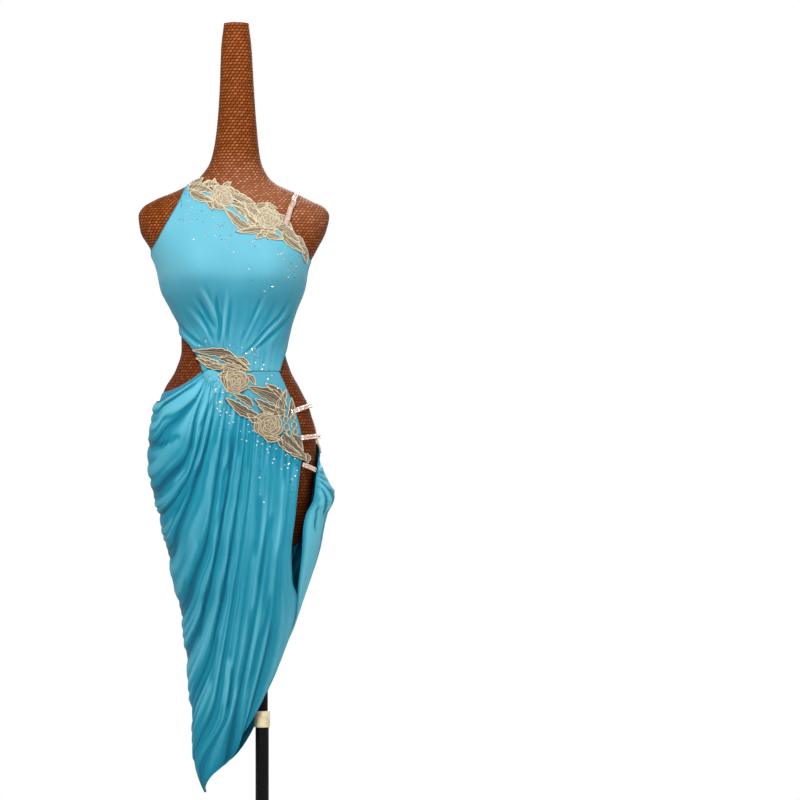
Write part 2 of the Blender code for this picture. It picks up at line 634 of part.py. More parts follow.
def strap(name, body, stops, finish):
    """A flat strap that follows the body through its stops."""
    places = body.stations([stop.place for stop in stops])
    count = 2 + int(abs(np.diff(body.point(places[:, 0], places[:, 1]), axis=0)).sum() / 26)
    path = along(places, count)
    steps = np.linalg.norm(np.diff(places, axis=0) * [TURN_REACH, 1.0], axis=1)
    marks = np.concatenate([[0.0], np.cumsum(steps)])
    lift = smooth_curve(marks, [stop.lift for stop in stops], np.linspace(0, marks[-1], count))
    centre = body.lifted(path[:, 0], path[:, 1], lift)
    out = body.normal(path[:, 0], path[:, 1])
    run = np.gradient(centre, axis=0)
    side = np.cross(run, out)
    side /= np.linalg.norm(side, axis=1, keepdims=True)
    up = np.cross(side, run)
    up /= np.linalg.norm(up, axis=1, keepdims=True)
    low, high = centre, centre + up * STRAP_THICKNESS
    half = side * STRAP_WIDTH / 2
    inner = np.stack([low - half, low + half], axis=1)
    outer = np.stack([high - half, high + half], axis=1)
    wall(name, inner, outer, finish)


def lace(body, finish):
    over_bodice = BODICE_LIFT + CLOTH + OVER_CLOTH
    edges = [[body.places([getattr(row, side) for row in table]) for side in Across._fields]
             for table in (LACE_NECKLINE, LACE_WAIST, LACE_HIP_BACK)]
    strip("lace_neckline", body, *edges[0], (over_bodice, over_bodice, LACE), finish, 33, 4)
    strip("lace_waist", body, *edges[1], (over_bodice + 1.9, 11.0, LACE), finish, 27, 5)
    strip("lace_hip_back", body, *edges[2], (3.0, 8.0, LACE), finish, 27, 4)


# ---------------------------------------------------------------- the whole
def main():
    for old in list(bpy.data.objects):
        bpy.data.objects.remove(old, do_unlink=True)
    black_steel = material("black_steel", (0.012, 0.012, 0.013), 0.35, 0.6)
    beige_plastic = material("beige_plastic", (0.56, 0.49, 0.33), 0.5)
    rattan = material("rattan", (0.24, 0.08, 0.03), 0.42)
    blue_cloth = material("blue_cloth", (0.09, 0.46, 0.60), 0.55)
    pale_cloth = material("pale_cloth", (0.30, 0.52, 0.78), 0.6)
    gold_lace = material("gold_lace", (0.47, 0.37, 0.20), 0.5)
    stone_strap = material("stone_strap", (0.68, 0.52, 0.42), 0.3, 0.2)

    form = Body(FORM_SECTIONS, bust=True)
    skirt = Body(SKIRT_SECTIONS)
    base_plate(black_steel)
    outer_tube(black_steel)
    collar(beige_plastic)
    inner_tube(black_steel)
    dress_form(form, rattan)
    bodice(form, blue_cloth)
    hip_pieces(form, blue_cloth, pale_cloth)
    skirt_panel("skirt_front", skirt, FRONT_FOLDS, -1, blue_cloth)
    skirt_panel("skirt_back", skirt, BACK_FOLDS, 1, blue_cloth)
    lace(form, gold_lace)
    for name, stops in STRAPS.items():
        strap(name, form, stops, stone_strap)


main()
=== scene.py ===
"""The looks of a draped one-shoulder salsa dress on a woven dress form with a pole stand.

Sizes in the tables are millimetres and are turned into metres when a mesh is
made.  +Z is up, the dress faces -Y and +X is the wearer's left.  Places on the
form and on the skirt are given by a turn round the body, in degrees, and a
height: 0 is the wearer's left side, 90 the centre front, 180 the right side
and 270 the centre back.
"""

import math
from collections import namedtuple
from itertools import groupby

import bpy
import numpy as np
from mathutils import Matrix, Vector
from mathutils.bvhtree import BVHTree

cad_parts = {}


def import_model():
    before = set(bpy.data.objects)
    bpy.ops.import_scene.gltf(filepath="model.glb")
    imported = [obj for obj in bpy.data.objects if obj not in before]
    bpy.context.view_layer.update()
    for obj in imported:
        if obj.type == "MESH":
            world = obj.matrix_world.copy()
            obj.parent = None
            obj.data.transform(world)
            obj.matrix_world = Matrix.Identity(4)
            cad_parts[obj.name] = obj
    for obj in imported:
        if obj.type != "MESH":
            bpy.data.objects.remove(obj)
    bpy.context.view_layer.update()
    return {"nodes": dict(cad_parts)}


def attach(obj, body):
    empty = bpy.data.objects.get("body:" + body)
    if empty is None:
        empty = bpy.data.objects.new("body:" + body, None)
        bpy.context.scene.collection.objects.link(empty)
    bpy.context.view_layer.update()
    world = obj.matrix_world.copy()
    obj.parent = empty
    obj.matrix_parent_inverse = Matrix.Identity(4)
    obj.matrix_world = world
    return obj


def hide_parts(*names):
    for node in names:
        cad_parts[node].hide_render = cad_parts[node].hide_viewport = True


MM = 0.001
TURN_REACH = 1.6  # millimetres along the body for a degree of turn, about
POLE_X = 58.0


# A place is (view, millimetres across, height), or ("turn", degrees, height).
def front(*spots):
    return [("front", *spot) for spot in spots]


def back(*spots):
    return [("back", *spot) for spot in spots]


def at_turn(*spots):
    return [("turn", *spot) for spot in spots]


# ---------------------------------------------------------------- form and drape
# Levels of the form, from the neck to the cut through the thighs, and of the
# skirt's hollows, from the waist to the point of the hem.
SECTION_COLUMNS = ("height", "left", "right", "front", "back", "squareness")
FORM_SECTIONS = [
    (1735, -22, 30, 26, 26, 2.0), (1684, -28, 36, 32, 32, 2.0), (1600, -31, 41, 36, 36, 2.0),
    (1516, -37, 47, 42, 42, 2.0), (1449, -49, 55, 50, 53, 2.0), (1415, -70, 70, 57, 62, 1.9),
    (1399, -91, 87, 61, 68, 1.8), (1382, -124, 123, 66, 74, 1.75), (1365, -165, 157, 71, 80, 1.8),
    (1348, -192, 190, 76, 86, 2.0), (1331, -201, 199, 82, 90, 2.2), (1298, -197, 192, 96, 96, 2.4),
    (1260, -176, 173, 107, 99, 2.4), (1218, -160, 152, 111, 98, 2.3),
    (1176, -151, 143, 107, 93, 2.2), (1134, -130, 127, 97, 86, 2.2),
    (1092, -112, 114, 90, 80, 2.2), (1050, -111, 106, 87, 77, 2.2), (1008, -123, 117, 90, 84, 2.2),
    (966, -147, 139, 94, 98, 2.2), (924, -159, 158, 96, 112, 2.2), (861, -166, 171, 96, 124, 2.3),
    (819, -167, 170, 95, 123, 2.3), (777, -160, 166, 94, 116, 2.4), (693, -144, 152, 90, 98, 2.4),
    (664, -134, 142, 87, 92, 2.4), (648, -128, 136, 84, 87, 2.4), (640, -120, 128, 78, 81, 2.4),
]
SKIRT_SECTIONS = [
    (1030, -121, 114, 93, 84, 2.2), (1006, -128, 122, 95, 89, 2.2), (966, -152, 144, 99, 103, 2.2),
    (945, -161, 154, 100, 110, 2.2), (903, -168, 168, 101, 123, 2.3),
    (861, -173, 174, 102, 130, 2.3), (824, -175, 175, 102, 131, 2.3),
    (790, -171, 187, 102, 130, 2.3), (742, -162, 206, 103, 125, 2.3),
    (707, -152, 190, 104, 120, 2.3), (676, -146, 182, 103, 116, 2.3),
    (636, -135, 174, 101, 110, 2.2), (567, -122, 152, 93, 99, 2.1), (525, -110, 138, 87, 92, 2.0),
    (483, -103, 123, 80, 85, 2.0), (441, -98, 107, 73, 77, 2.0), (399, -93, 92, 65, 68, 2.0),
    (357, -90, 78, 57, 59, 2.0), (315, -86, 64, 49, 50, 2.0), (273, -82, 50, 41, 41, 2.0),
    (231, -81, 27, 33, 33, 2.0), (189, -78, -6, 25, 25, 2.0), (158, -70, -28, 19, 19, 2.0),
    (118, -54, -36, 11, 11, 2.0),
]
BUST_HEIGHT, BUST_TALL = 1216.0, 62.0
BUST_SPREAD, BUST_WIDTH = 80.0, 56.0
BUST_DEPTH, BUST_EDGE = 28.0, 2.2
SOCKET_RADIUS, SOCKET_TOP = 12.4, 770.4

# One row for each hollow between two folds, from the cut-out edge at the hip to
# the edge of the slit: the height of the fold that follows it, and its path from
# under the lace to the side or the hem.
Fold = namedtuple("Fold", "name crest path")
FRONT_FOLDS = [
    Fold("cutout", 8, front((-64, 1000), (-93, 977), (-126, 955))
         + at_turn((158, 943), (180, 940))),
    Fold("waist", 10, front((-61, 996), (-100, 965), (-138, 938))
         + at_turn((158, 919), (180, 915))),
    Fold("high_hip", 12, front((-58, 991), (-81, 945), (-131, 895))
         + at_turn((158, 856), (180, 850))),
    Fold("hip", 11, front((-53, 986), (-79, 916), (-96, 832), (-138, 784))
         + at_turn((158, 764), (180, 758))),
    Fold("low_hip", 11, front((-46, 980), (-66, 882), (-92, 790), (-120, 740))
         + at_turn((158, 713), (180, 706))),
    Fold("thigh", 12, front((-36, 973), (-58, 852), (-84, 765), (-112, 690))
         + at_turn((158, 641), (180, 632))),
    Fold("long_1", 12, front((-13, 957), (-36, 795), (-58, 650), (-84, 570))
         + at_turn((160, 517), (180, 505))),
    Fold("long_2", 11, front((10, 938), (-12, 780), (-42, 600), (-66, 490))
         + at_turn((160, 427), (180, 412))),
    Fold("long_3", 10, front((29, 918), (8, 750), (-22, 545), (-48, 420))
         + at_turn((162, 319), (180, 298))),
    Fold("point", 9, front((42, 903), (24, 720), (-8, 500), (-38, 320)) + at_turn((180, 168))),
    Fold("hem_1", 9, front((56, 888), (40, 700), (12, 480), (-18, 290)) + at_turn((165, 125))),
    Fold("hem_2", 8, front((81, 861), (64, 670), (38, 480), (2, 300), (-20, 188))),
    Fold("hem_3", 7, front((110, 840), (93, 665), (74, 480), (34, 310), (16, 250))),
    Fold("slit_edge", 0, front((137, 819), (125, 715), (115, 625), (117, 570))
         + at_turn((26, 530), (12, 480), (5, 430), (10, 384), (28, 330))),
]
BACK_FOLDS = [
    Fold("cutout", 8, back((29, 1015), (-25, 984), (-90, 965)) + at_turn((203, 944), (180, 940))),
    Fold("waist", 10, back((31, 1007), (-25, 975), (-90, 940)) + at_turn((203, 920), (180, 915))),
    Fold("high_hip", 13, back((38, 996), (-8, 922), (-83, 870)) + at_turn((203, 856), (180, 850))),
    Fold("hip", 13, back((48, 981), (8, 889), (-68, 812)) + at_turn((203, 764), (180, 758))),
    Fold("low_hip", 14, back((63, 963), (30, 868), (-57, 764)) + at_turn((203, 713), (180, 706))),
    Fold("thigh", 15, back((80, 945), (53, 842), (-36, 714)) + at_turn((203, 641), (180, 632))),
    Fold("long_1", 15, back((100, 925), (79, 805), (20, 700), (-60, 590))
         + at_turn((201, 517), (180, 505))),
    Fold("long_2", 14, back((120, 905), (106, 770), (50, 650), (-40, 510))
         + at_turn((201, 427), (180, 412))),
    Fold("long_3", 12, back((139, 885), (132, 735), (70, 570), (-20, 410))
         + at_turn((199, 318), (180, 298))),
    Fold("point", 10, back((152, 872), (152, 712), (90, 530), (0, 340)) + at_turn((180, 168))),
    Fold("hem_1", 9, back((162, 860), (169, 700), (108, 510), (20, 310)) + at_turn((195, 125))),
    Fold("hem_2", 7, at_turn((340, 846), (345, 708), (334, 500), (322, 330), (320, 188))),
    Fold("flare", 7, at_turn((356, 832), (368, 738), (362, 560), (344, 400), (325, 250))),
    Fold("slit_edge", 0, at_turn((367, 824), (391, 780), (402, 740), (404, 690), (402, 650),
         (398, 610), (392, 565), (383, 525), (369, 480), (361, 430), (350, 384), (329, 330))),
]
# Height of a fold as a share of its crest: along its path, and across it from one
# hollow to the next, where it rises softly and falls off steeply.
FOLD_ALONG = [(0.0, 0.06), (0.12, 0.35), (0.3, 0.9), (0.5, 1.0), (0.8, 0.95), (1.0, 0.7)]
FOLD_ACROSS = [(0.0, 0.0), (0.05, 0.14), (0.14, 0.36), (0.32, 0.62), (0.54, 0.87), (0.72, 1.0),
               (0.86, 0.84), (0.95, 0.36), (1.0, 0.0)]
FOLD_HEIGHT = 10.0
SKIRT_ROWS, SKIRT_PER_GAP = 224, 12
FIRST_HEM_FOLD = 10  # the first hollow of both panels that ends on the hem
# Where the gathers run on to under the lace, a place for each hollow, and the rows
# of the grid that they take.
FRONT_LEADS = (
    front((-55, 1007), (-49, 1007), (-42, 1006), (-35, 1003), (-28, 998), (-18, 990), (0, 970),
    (20, 950), (37, 930), (50, 915), (64, 900), (88, 872), (115, 849), (139, 827))
)
BACK_LEADS = (
    back((34, 1020), (37, 1014), (45, 1003), (55, 988), (70, 970), (87, 952), (107, 932),
    (127, 912), (146, 892), (158, 879)) + at_turn((337, 868), (344, 853), (358, 838), (368, 829))
)
LEAD_ROWS = 10

# ---------------------------------------------------------------- bodice
# Hollows between the gathered folds, from the cut-out edge under the right arm to
# the left side: each starts on the armhole or the neckline and ends at the waist.
BODICE_FOLDS = [
    Fold("cutout", 4, at_turn((204, 1174), (196, 1120), (180, 1092))
         + front((-90, 1061), (-75, 1036), (-64, 1006))),
    Fold("armhole_1", 5, at_turn((188, 1230), (174, 1160))
         + front((-112, 1110), (-78, 1064), (-56, 1006))),
    Fold("armhole_2", 5, front((-152, 1287), (-138, 1200), (-98, 1120), (-65, 1066), (-49, 1006))),
    Fold("armhole_3", 6, front((-135, 1318), (-122, 1220), (-80, 1125), (-53, 1068), (-42, 1006))),
    Fold("armhole_4", 6, front((-114, 1356), (-100, 1230), (-62, 1130), (-43, 1070), (-35, 1006))),
    Fold("shoulder", 6, front((-96, 1391), (-76, 1240), (-44, 1130), (-34, 1070), (-27, 1006))),
    Fold("neck_1", 5, front((-68, 1390), (-48, 1240), (-27, 1130), (-24, 1070), (-19, 1006))),
    Fold("neck_2", 3, front((-40, 1376), (-20, 1240), (-10, 1130), (-14, 1068), (-11, 1006))),
    Fold("neck_3", 3, front((-6, 1358), (8, 1240), (8, 1130), (-2, 1064), (-2, 1006))),
    Fold("neck_4", 5, front((26, 1342), (36, 1240), (30, 1130), (11, 1060), (8, 1006))),
    Fold("neck_5", 6, front((56, 1328), (62, 1235), (52, 1130), (24, 1058), (20, 1006))),
    Fold("neck_6", 6, front((84, 1313), (88, 1230), (74, 1130), (38, 1056), (34, 1006))),
    Fold("neck_7", 5, front((112, 1298), (114, 1220), (96, 1128), (54, 1054), (50, 1006))),
    Fold("neck_8", 4, front((142, 1270), (136, 1205), (114, 1126), (76, 1054), (68, 1006))),
    Fold("left_side", 0, front((156, 1235)) + at_turn((3, 1190), (-3, 1126), (3, 1070))
         + front((98, 1030), (91, 1006))),
]
# The gathers start below the bust and flatten at the waist seam.
GATHER_ALONG = [(0.0, 0.0), (0.5, 0.0), (0.62, 0.5), (0.74, 1.0), (0.82, 0.8), (0.9, 0.25),
                (1.0, 0.1)]
BODICE_TOP = (
    at_turn((204, 1174), (188, 1230)) + front((-168, 1262), (-159, 1275), (-135, 1318),
    (-114, 1356), (-96, 1391), (-90, 1394), (-68, 1390), (-40, 1376), (-6, 1358), (26, 1342),
    (56, 1328), (84, 1313), (112, 1298), (142, 1270), (156, 1235))
)

# ---------------------------------------------------------------- creases
# Single creases listed one by one over the folds: depth, width (a negative depth is a
# ridge), and a path across and up as seen from one side.
BODICE_CREASES = [
    (2.6, 4.0, [(-128, 1130), (-92, 1081), (-54, 1052)]),
    (-2.0, 4.5, [(-114, 1096), (-90, 1070), (-66, 1050)]),
    (3.4, 3.8, [(-86, 1150), (-58, 1104), (-42, 1060)]),
    (-2.6, 4.5, [(-104, 1150), (-74, 1115), (-53, 1082), (-42, 1054)]),
    (2.6, 4.0, [(-82, 1172), (-58, 1128), (-36, 1090)]),
    (-3.2, 5.0, [(-76, 1190), (-50, 1146), (-33, 1108)]),
    (5.2, 3.8, [(-38, 1180), (-36, 1138), (-29, 1104), (-32, 1056)]),
    (-2.6, 4.5, [(-14, 1186), (-21, 1112), (-26, 1056)]),
    (1.6, 4.0, [(-4, 1168), (-12, 1112), (-18, 1060)]),
    (-2.2, 4.5, [(72, 1178), (52, 1138), (32, 1103), (14, 1062)]),
    (2.8, 3.6, [(58, 1170), (39, 1121), (11, 1062)]),
    (1.2, 5.0, [(92, 1168), (66, 1118), (36, 1068)]),
    (3.2, 3.2, [(118, 1170), (93, 1124), (64, 1091), (30, 1051), (6, 1030)]),
    (-2.4, 3.2, [(124, 1166), (99, 1122), (71, 1091), (38, 1053), (14, 1031)]),
    (3.4, 3.2, [(120, 1134), (95, 1101), (61, 1068), (30, 1042)]),
]
FRONT_CREASES = [
    (2.6, 4, [(-34, 964), (-52, 932), (-63, 904), (-76, 876)]),
    (4.0, 5, [(0, 912), (-5, 872), (-10, 823), (-21, 783), (-26, 727), (-34, 653)]),
    (-2.0, 5, [(-84, 850), (-104, 800), (-128, 764)]),
    (3.0, 5, [(-70, 820), (-86, 778), (-106, 735), (-128, 690)]),
    (-3.0, 5, [(-76, 655), (-88, 600), (-106, 556)]),
    (2.5, 6, [(52, 760), (50, 700), (40, 610)]),
    (2.5, 6, [(80, 720), (66, 660), (56, 600), (48, 540)]),
    (-2.0, 6, [(104, 798), (96, 700), (80, 608)]),
    (3.2, 5, [(38, 530), (26, 445), (14, 385), (0, 320)]),
    (3.2, 5, [(74, 560), (65, 497), (47, 431), (36, 380), (22, 325)]),
    (-2.5, 6, [(-12, 420), (-14, 360), (-20, 300)]),
    (2.5, 4, [(-4, 400), (-8, 350), (-16, 290)]),
    (2.5, 5, [(-58, 560), (-64, 500), (-72, 440)]),
    (2.0, 5, [(-32, 470), (-40, 400), (-48, 340)]),
    (2.2, 4, [(-72, 984), (-104, 960), (-140, 936), (-160, 922)]),
    (2.4, 4, [(-74, 952), (-108, 922), (-150, 900)]),
    (2.4, 5, [(-104, 876), (-132, 858), (-164, 846)]),
    (-2.4, 5, [(-112, 866), (-138, 842), (-166, 826)]),
    (2.0, 4, [(-20, 948), (-32, 900), (-42, 840)]),
    (1.8, 4, [(18, 924), (12, 880), (8, 820)]),
    (1.8, 4, [(36, 906), (32, 850), (26, 790)]),
]
BACK_CREASES = [
    (2.6, 4, [(8, 953), (-29, 908), (-98, 889), (-160, 886)]),
    (2.6, 4.5, [(42, 925), (-6, 861), (-76, 838), (-128, 838), (-166, 800)]),
    (-2.4, 6, [(26, 930), (-16, 848), (-70, 800), (-120, 770)]),
    (3.0, 4, [(48, 908), (18, 824), (-20, 764), (-80, 702), (-148, 694)]),
    (2.6, 3.5, [(-84, 770), (-122, 766), (-162, 770)]),
    (-2.0, 3.5, [(-88, 758), (-124, 752), (-160, 756)]),
    (2.8, 3.5, [(-96, 744), (-130, 736), (-160, 728)]),
    (2.4, 3.5, [(-74, 696), (-110, 682), (-136, 680)]),
    (-2.2, 5, [(70, 870), (44, 770), (-20, 670), (-74, 640), (-130, 646)]),
    (2.4, 4, [(92, 852), (70, 752), (20, 650), (-54, 590), (-112, 600)]),
    (2.6, 4, [(116, 850), (90, 720), (34, 610), (-26, 564), (-92, 548)]),
    (-2.2, 5, [(132, 820), (104, 700), (62, 600), (-6, 520), (-76, 496)]),
    (2.4, 4, [(150, 800), (126, 680), (80, 570), (12, 480), (-60, 448)]),
    (2.4, 4, [(164, 790), (140, 660), (100, 530), (50, 430), (-18, 368), (-48, 352)]),
    (-2.0, 4, [(172, 760), (150, 620), (118, 490), (70, 390), (10, 300)]),
    (2.2, 4, [(118, 480), (84, 388), (44, 308), (0, 240)]),
    (2.0, 4, [(90, 400), (60, 320), (24, 250), (-20, 190)]),
]
# Crumpled where the lowest strap takes hold of the back panel's corner: the first
# measure here runs round the body from its outermost line towards the front.
FLARE_CREASES = [
    (5.0, 4.0, [(52, 786), (34, 776), (14, 770), (-8, 768)]),
    (-4.0, 4.5, [(54, 784), (38, 769), (18, 757), (-4, 751)]),
    (5.5, 4.0, [(55, 780), (42, 762), (26, 746), (4, 736)]),
    (-4.0, 4.5, [(58, 775), (50, 756), (38, 736), (20, 716)]),
    (5.0, 4.0, [(60, 770), (54, 748), (44, 726), (30, 700)]),
    (-3.5, 4.5, [(64, 762), (62, 738), (54, 712)]),
    (4.0, 4.0, [(66, 757), (66, 732), (60, 700), (52, 660)]),
    (4.0, 3.5, [(42, 794), (24, 790), (4, 794)]),
    (4.0, 3.0, [(32, 762), (22, 748), (16, 730)]),
    (-3.0, 4.5, [(44, 800), (26, 800), (4, 806)]),
    (3.0, 4.0, [(42, 808), (28, 810), (8, 818), (-10, 828)]),
]
FLARE_REACH = 1.9  # millimetres round the body for a degree of turn, at the flare

# ---------------------------------------------------------------- yokes and straps
YOKE_FRONT_TOP = front((-62, 1005), (0, 1004), (90, 1005))
YOKE_FRONT_FOOT = front((-63, 998), (-22, 958), (14, 926), (50, 884), (84, 848), (138, 822))
# The hip band under the drape, from the front waist round the right hip.
HIP_BAND_TOP = (
    front((-66, 1005), (-91, 986), (-116, 971)) + at_turn((180, 958))
    + back((-126, 978), (-51, 993), (12, 1012), (31, 1021))
)
HIP_BAND_DEPTH = 26.0
# Where each strap runs: view, across and height of places along it, each with how
# far it stands off the form.
STRAPS = {
    "strap_shoulder_left": [
        ("front", 104, 1306, 7.2), ("front", 114, 1338, 6.6), ("turn", 12, 1377, 2.0),
        ("turn", -12, 1379, 2.0), ("back", 112, 1362, 2.6), ("back", 89, 1345, 5.4),
        ("back", 59, 1324, 4.2), ("back", -36, 1263, 2.2), ("back", -107, 1214, 2.2),
        ("back", -128, 1192, 2.4), ("turn", 202.8, 1181, 2.6),
    ],
    "strap_shoulder_right": [
        ("turn", 192, 1400, 2.4), ("back", -64, 1411, 2.2), ("back", -18, 1406, 2.2),
        ("back", 29, 1380, 2.2), ("back", 70, 1356, 2.0), ("back", 98, 1337, 2.0),
        ("back", 139, 1301, 2.2), ("back", 158, 1278, 2.2), ("back", 162, 1250, 2.2),
        ("back", 142, 1196, 2.2), ("back", 127, 1152, 2.2), ("back", 110, 1104, 2.2),
        ("back", 94, 1072, 2.2), ("back", 70, 1047, 2.2), ("back", 44, 1030, 2.4),
    ],
    "strap_side": [
        ("turn", 206.2, 1171, 1.8), ("back", -126, 1160, 1.6), ("back", -110, 1132, 1.4),
        ("back", -92, 1101, 1.4), ("back", -66, 1079, 1.4), ("back", -38, 1060, 1.4),
        ("back", -4, 1042, 1.4), ("back", 28, 1025, 1.6),
    ],
    "hip_strap_1": [
        ("front", 116, 920, 4.4), ("front", 140, 928, 3.0), ("turn", 10, 932, 3.0),
        ("turn", -10, 930, 8.0),
    ],
    "hip_strap_2": [
        ("front", 132, 866, 9.4), ("front", 154, 868, 4.0), ("turn", 14, 869, 4.0),
        ("turn", 0, 868, 9.0),
    ],
    "hip_strap_3": [
        ("front", 134, 811, 13.0), ("front", 148, 805, 13.0), ("front", 158, 799, 13.0),
    ],
}
# The strap's section: across it, and up from the form.
TAPE_SECTION = np.array([
    (-5.0, 0.2), (-5.0, 0.9), (-4.7, 1.15), (-2.4, 1.25), (0.0, 1.05), (2.4, 1.25), (4.7, 1.15),
    (5.0, 0.9), (5.0, 0.2), (0.0, 0.0),
])

# ---------------------------------------------------------------- lace and stones
# Leaves: base, tip, width, sideways bend, lobes along the edge and how far the tip
# curls up.  Roses: centre, radius and turn.  Bars: two ends.  The lace in front is
# placed by millimetres across and height.
NECK_LEAVES = [
    ((-92, 1376), (-62, 1409), 17, 3, 2, 0.5), ((-74, 1376), (-50, 1402), 15, -3, 2, 0.5),
    ((-93, 1386), (-40, 1374), 19, 5, 3, 1.0), ((-90, 1378), (-40, 1354), 18, -4, 3, 1.5),
    ((-60, 1366), (-44, 1336), 15, 3, 2, 1.5), ((-64, 1390), (-30, 1394), 15, 3, 2, 0.5),
    ((-42, 1384), (-40, 1407), 11, 1, 2, 0.5), ((-24, 1384), (-6, 1399), 12, 1, 2, 0.5),
    ((-46, 1358), (-18, 1338), 16, -3, 3, 1.0), ((-12, 1386), (46, 1350), 20, -5, 3, 1.0),
    ((-6, 1370), (50, 1338), 19, 4, 4, 0.5), ((-8, 1352), (34, 1322), 17, 4, 3, 0.5),
    ((36, 1296), (-24, 1343), 19, 5, 3, 3.0), ((44, 1308), (-8, 1350), 17, -4, 3, 1.5),
    ((52, 1326), (18, 1360), 16, 3, 3, 0.5), ((50, 1306), (20, 1330), 15, 3, 3, 0.5),
    ((84, 1292), (2, 1291), 18, -4, 4, 2.0), ((68, 1298), (44, 1275), 14, 2, 2, 1.5),
    ((56, 1298), (100, 1274), 17, -4, 3, 1.5), ((84, 1304), (134, 1270), 20, 4, 4, 1.0),
    ((86, 1328), (120, 1296), 16, 4, 3, 0.5), ((98, 1292), (143, 1250), 18, -4, 4, 1.5),
    ((120, 1282), (144, 1262), 14, 3, 3, 0.5), ((134, 1268), (146, 1230), 13, 3, 3, 1.0),
    ((44, 1340), (70, 1353), 13, 2, 2, 0.5), ((86, 1342), (64, 1356), 12, 2, 2, 0.5),
]
NECK_ROSES = [((-23, 1368), 24, 0.4), ((69, 1319), 28, 1.3)]
NECK_BARS = [
    ((-56, 1370), (-40, 1372)), ((-10, 1352), (4, 1362)), ((20, 1322), (36, 1336)),
    ((8, 1328), (24, 1342)), ((38, 1296), (46, 1304)), ((100, 1292), (112, 1300)),
    ((116, 1272), (122, 1284)), ((-30, 1344), (-14, 1346)),
]
WAIST_LEAVES = [
    ((6, 1026), (-84, 1048), 20, -7, 4, 1.5), ((-22, 1012), (-78, 1032), 14, 4, 3, 1.0),
    ((-60, 1020), (-18, 1010), 12, 5, 3, 0.5), ((-30, 1032), (34, 1004), 18, 5, 4, 0.5),
    ((4, 1030), (32, 1016), 11, 3, 2, 0.5), ((-14, 1001), (-34, 994), 11, 2, 2, 0.5),
    ((-14, 1010), (-14, 958), 12, -7, 3, 1.0), ((46, 912), (-20, 950), 20, 5, 4, 3.0),
    ((36, 930), (-4, 958), 14, -4, 3, 1.0), ((104, 926), (24, 974), 27, -8, 4, 1.0),
    ((104, 918), (38, 948), 20, 6, 4, 1.5), ((98, 944), (60, 980), 14, -5, 2, 0.5),
    ((98, 908), (105, 968), 19, 7, 3, 0.5), ((110, 908), (116, 950), 13, -4, 3, 0.5),
    ((82, 920), (46, 934), 14, 3, 3, 0.5), ((52, 900), (24, 918), 13, 3, 2, 0.5),
    ((98, 874), (148, 816), 26, -5, 4, 2.0), ((86, 868), (134, 828), 14, -4, 4, 2.0),
    ((118, 872), (138, 838), 13, 4, 3, 1.0), ((146, 834), (147, 809), 10, 5, 3, 1.0),
    ((60, 870), (92, 862), 11, -3, 3, 1.0), ((24, 996), (44, 974), 11, 3, 2, 0.5),
    ((22, 1002), (-28, 1018), 12, -4, 3, 2.0), ((-32, 1022), (-72, 1037), 11, 3, 3, 2.0),
]
WAIST_ROSES = [((4, 984), 25, 0.0), ((69, 894), 29, 0.9)]
WAIST_BARS = [
    ((24, 968), (40, 962)), ((6, 960), (14, 948)), ((92, 930), (88, 914)),
    ((118, 866), (120, 852)), ((-30, 1016), (-22, 1002)),
]
WAIST_LOOPS = [(104, 904), (118, 908), (106, 888), (121, 892), (110, 876), (124, 878)]
BACK_LEAVES = [
    (("back", 29, 1024), ("back", 62, 998), 16, 4, 3, 1.0),
    (("back", 31, 1010), ("back", 66, 990), 15, -4, 3, 1.0),
    (("back", 54, 998), ("back", 98, 972), 17, 5, 4, 1.0),
    (("back", 44, 1002), ("back", 90, 956), 18, -5, 4, 2.0),
    (("back", 108, 930), ("back", 78, 966), 15, 4, 3, 1.0),
    (("back", 92, 972), ("back", 112, 958), 11, 2, 2, 0.5),
    (("back", 120, 936), ("turn", 353, 895), 18, 5, 4, 1.0),
    (("back", 130, 948), ("turn", 351, 920), 15, -4, 3, 0.5),
    (("turn", 343, 910), ("turn", 359, 866), 15, 4, 3, 1.0),
    (("turn", 351, 888), ("turn", 363, 834), 12, -4, 3, 1.5),
    (("back", 116, 932), ("back", 134, 904), 13, 3, 3, 1.0),
    (("turn", 335, 936), ("turn", 353, 943), 11, 2, 2, 0.5),
]
BACK_ROSES = [(("back", 113, 950), 22, 0.5)]
BACK_BARS = [
    (("back", 96, 962), ("back", 100, 952)), (("turn", 340, 922), ("turn", 346, 916)),
    (("turn", 350, 900), ("turn", 354, 890)), (("back", 60, 980), ("back", 70, 976)),
]
# The rings of a rose's petals: inner and outer radius as shares, number, and the
# lifts of root and rim.
PETAL_RINGS = [
    (0.45, 1.00, 8, 0.2, 1.3), (0.30, 0.78, 6, 1.1, 2.1), (0.18, 0.56, 5, 1.9, 2.8),
    (0.08, 0.36, 4, 2.6, 3.4),
]
# Stones strewn beside an edge: its places, how many, the seed, how far they spread
# downwards and how far above the edge they start.
STREWN = [
    (front((-88, 1376), (-50, 1340), (-15, 1330), (20, 1292), (60, 1278), (105, 1268),
           (138, 1238)), 46, 3, 22.0, 0.0),
    (front((-60, 1014), (-28, 985), (-16, 940), (30, 905), (60, 862), (100, 840),
           (126, 812)), 60, 4, 30.0, 0.0),
    (front((-76, 1052), (-20, 1044), (30, 1020), (60, 990), (96, 968)), 20, 6, 16.0, 30.0),
    (back((28, 1008), (60, 970), (92, 936), (122, 905)) + at_turn((338, 876)), 26, 7, 22.0, 0.0),
]
CLEAR_RADIUS, DARK_RADIUS = (1.5, 2.5), (0.9, 1.25)


# ---------------------------------------------------------------- curves
def ramp(value, start, end):
    """0 before the start, rising evenly to 1 at the end, which may be the smaller one."""
    return np.clip((value - start) / (end - start), 0, 1)


def unit(vectors):
    return vectors / (np.linalg.norm(vectors, axis=-1, keepdims=True) + 1e-9)


def circle(angles):
    return np.stack([np.cos(angles), np.sin(angles)], axis=-1)


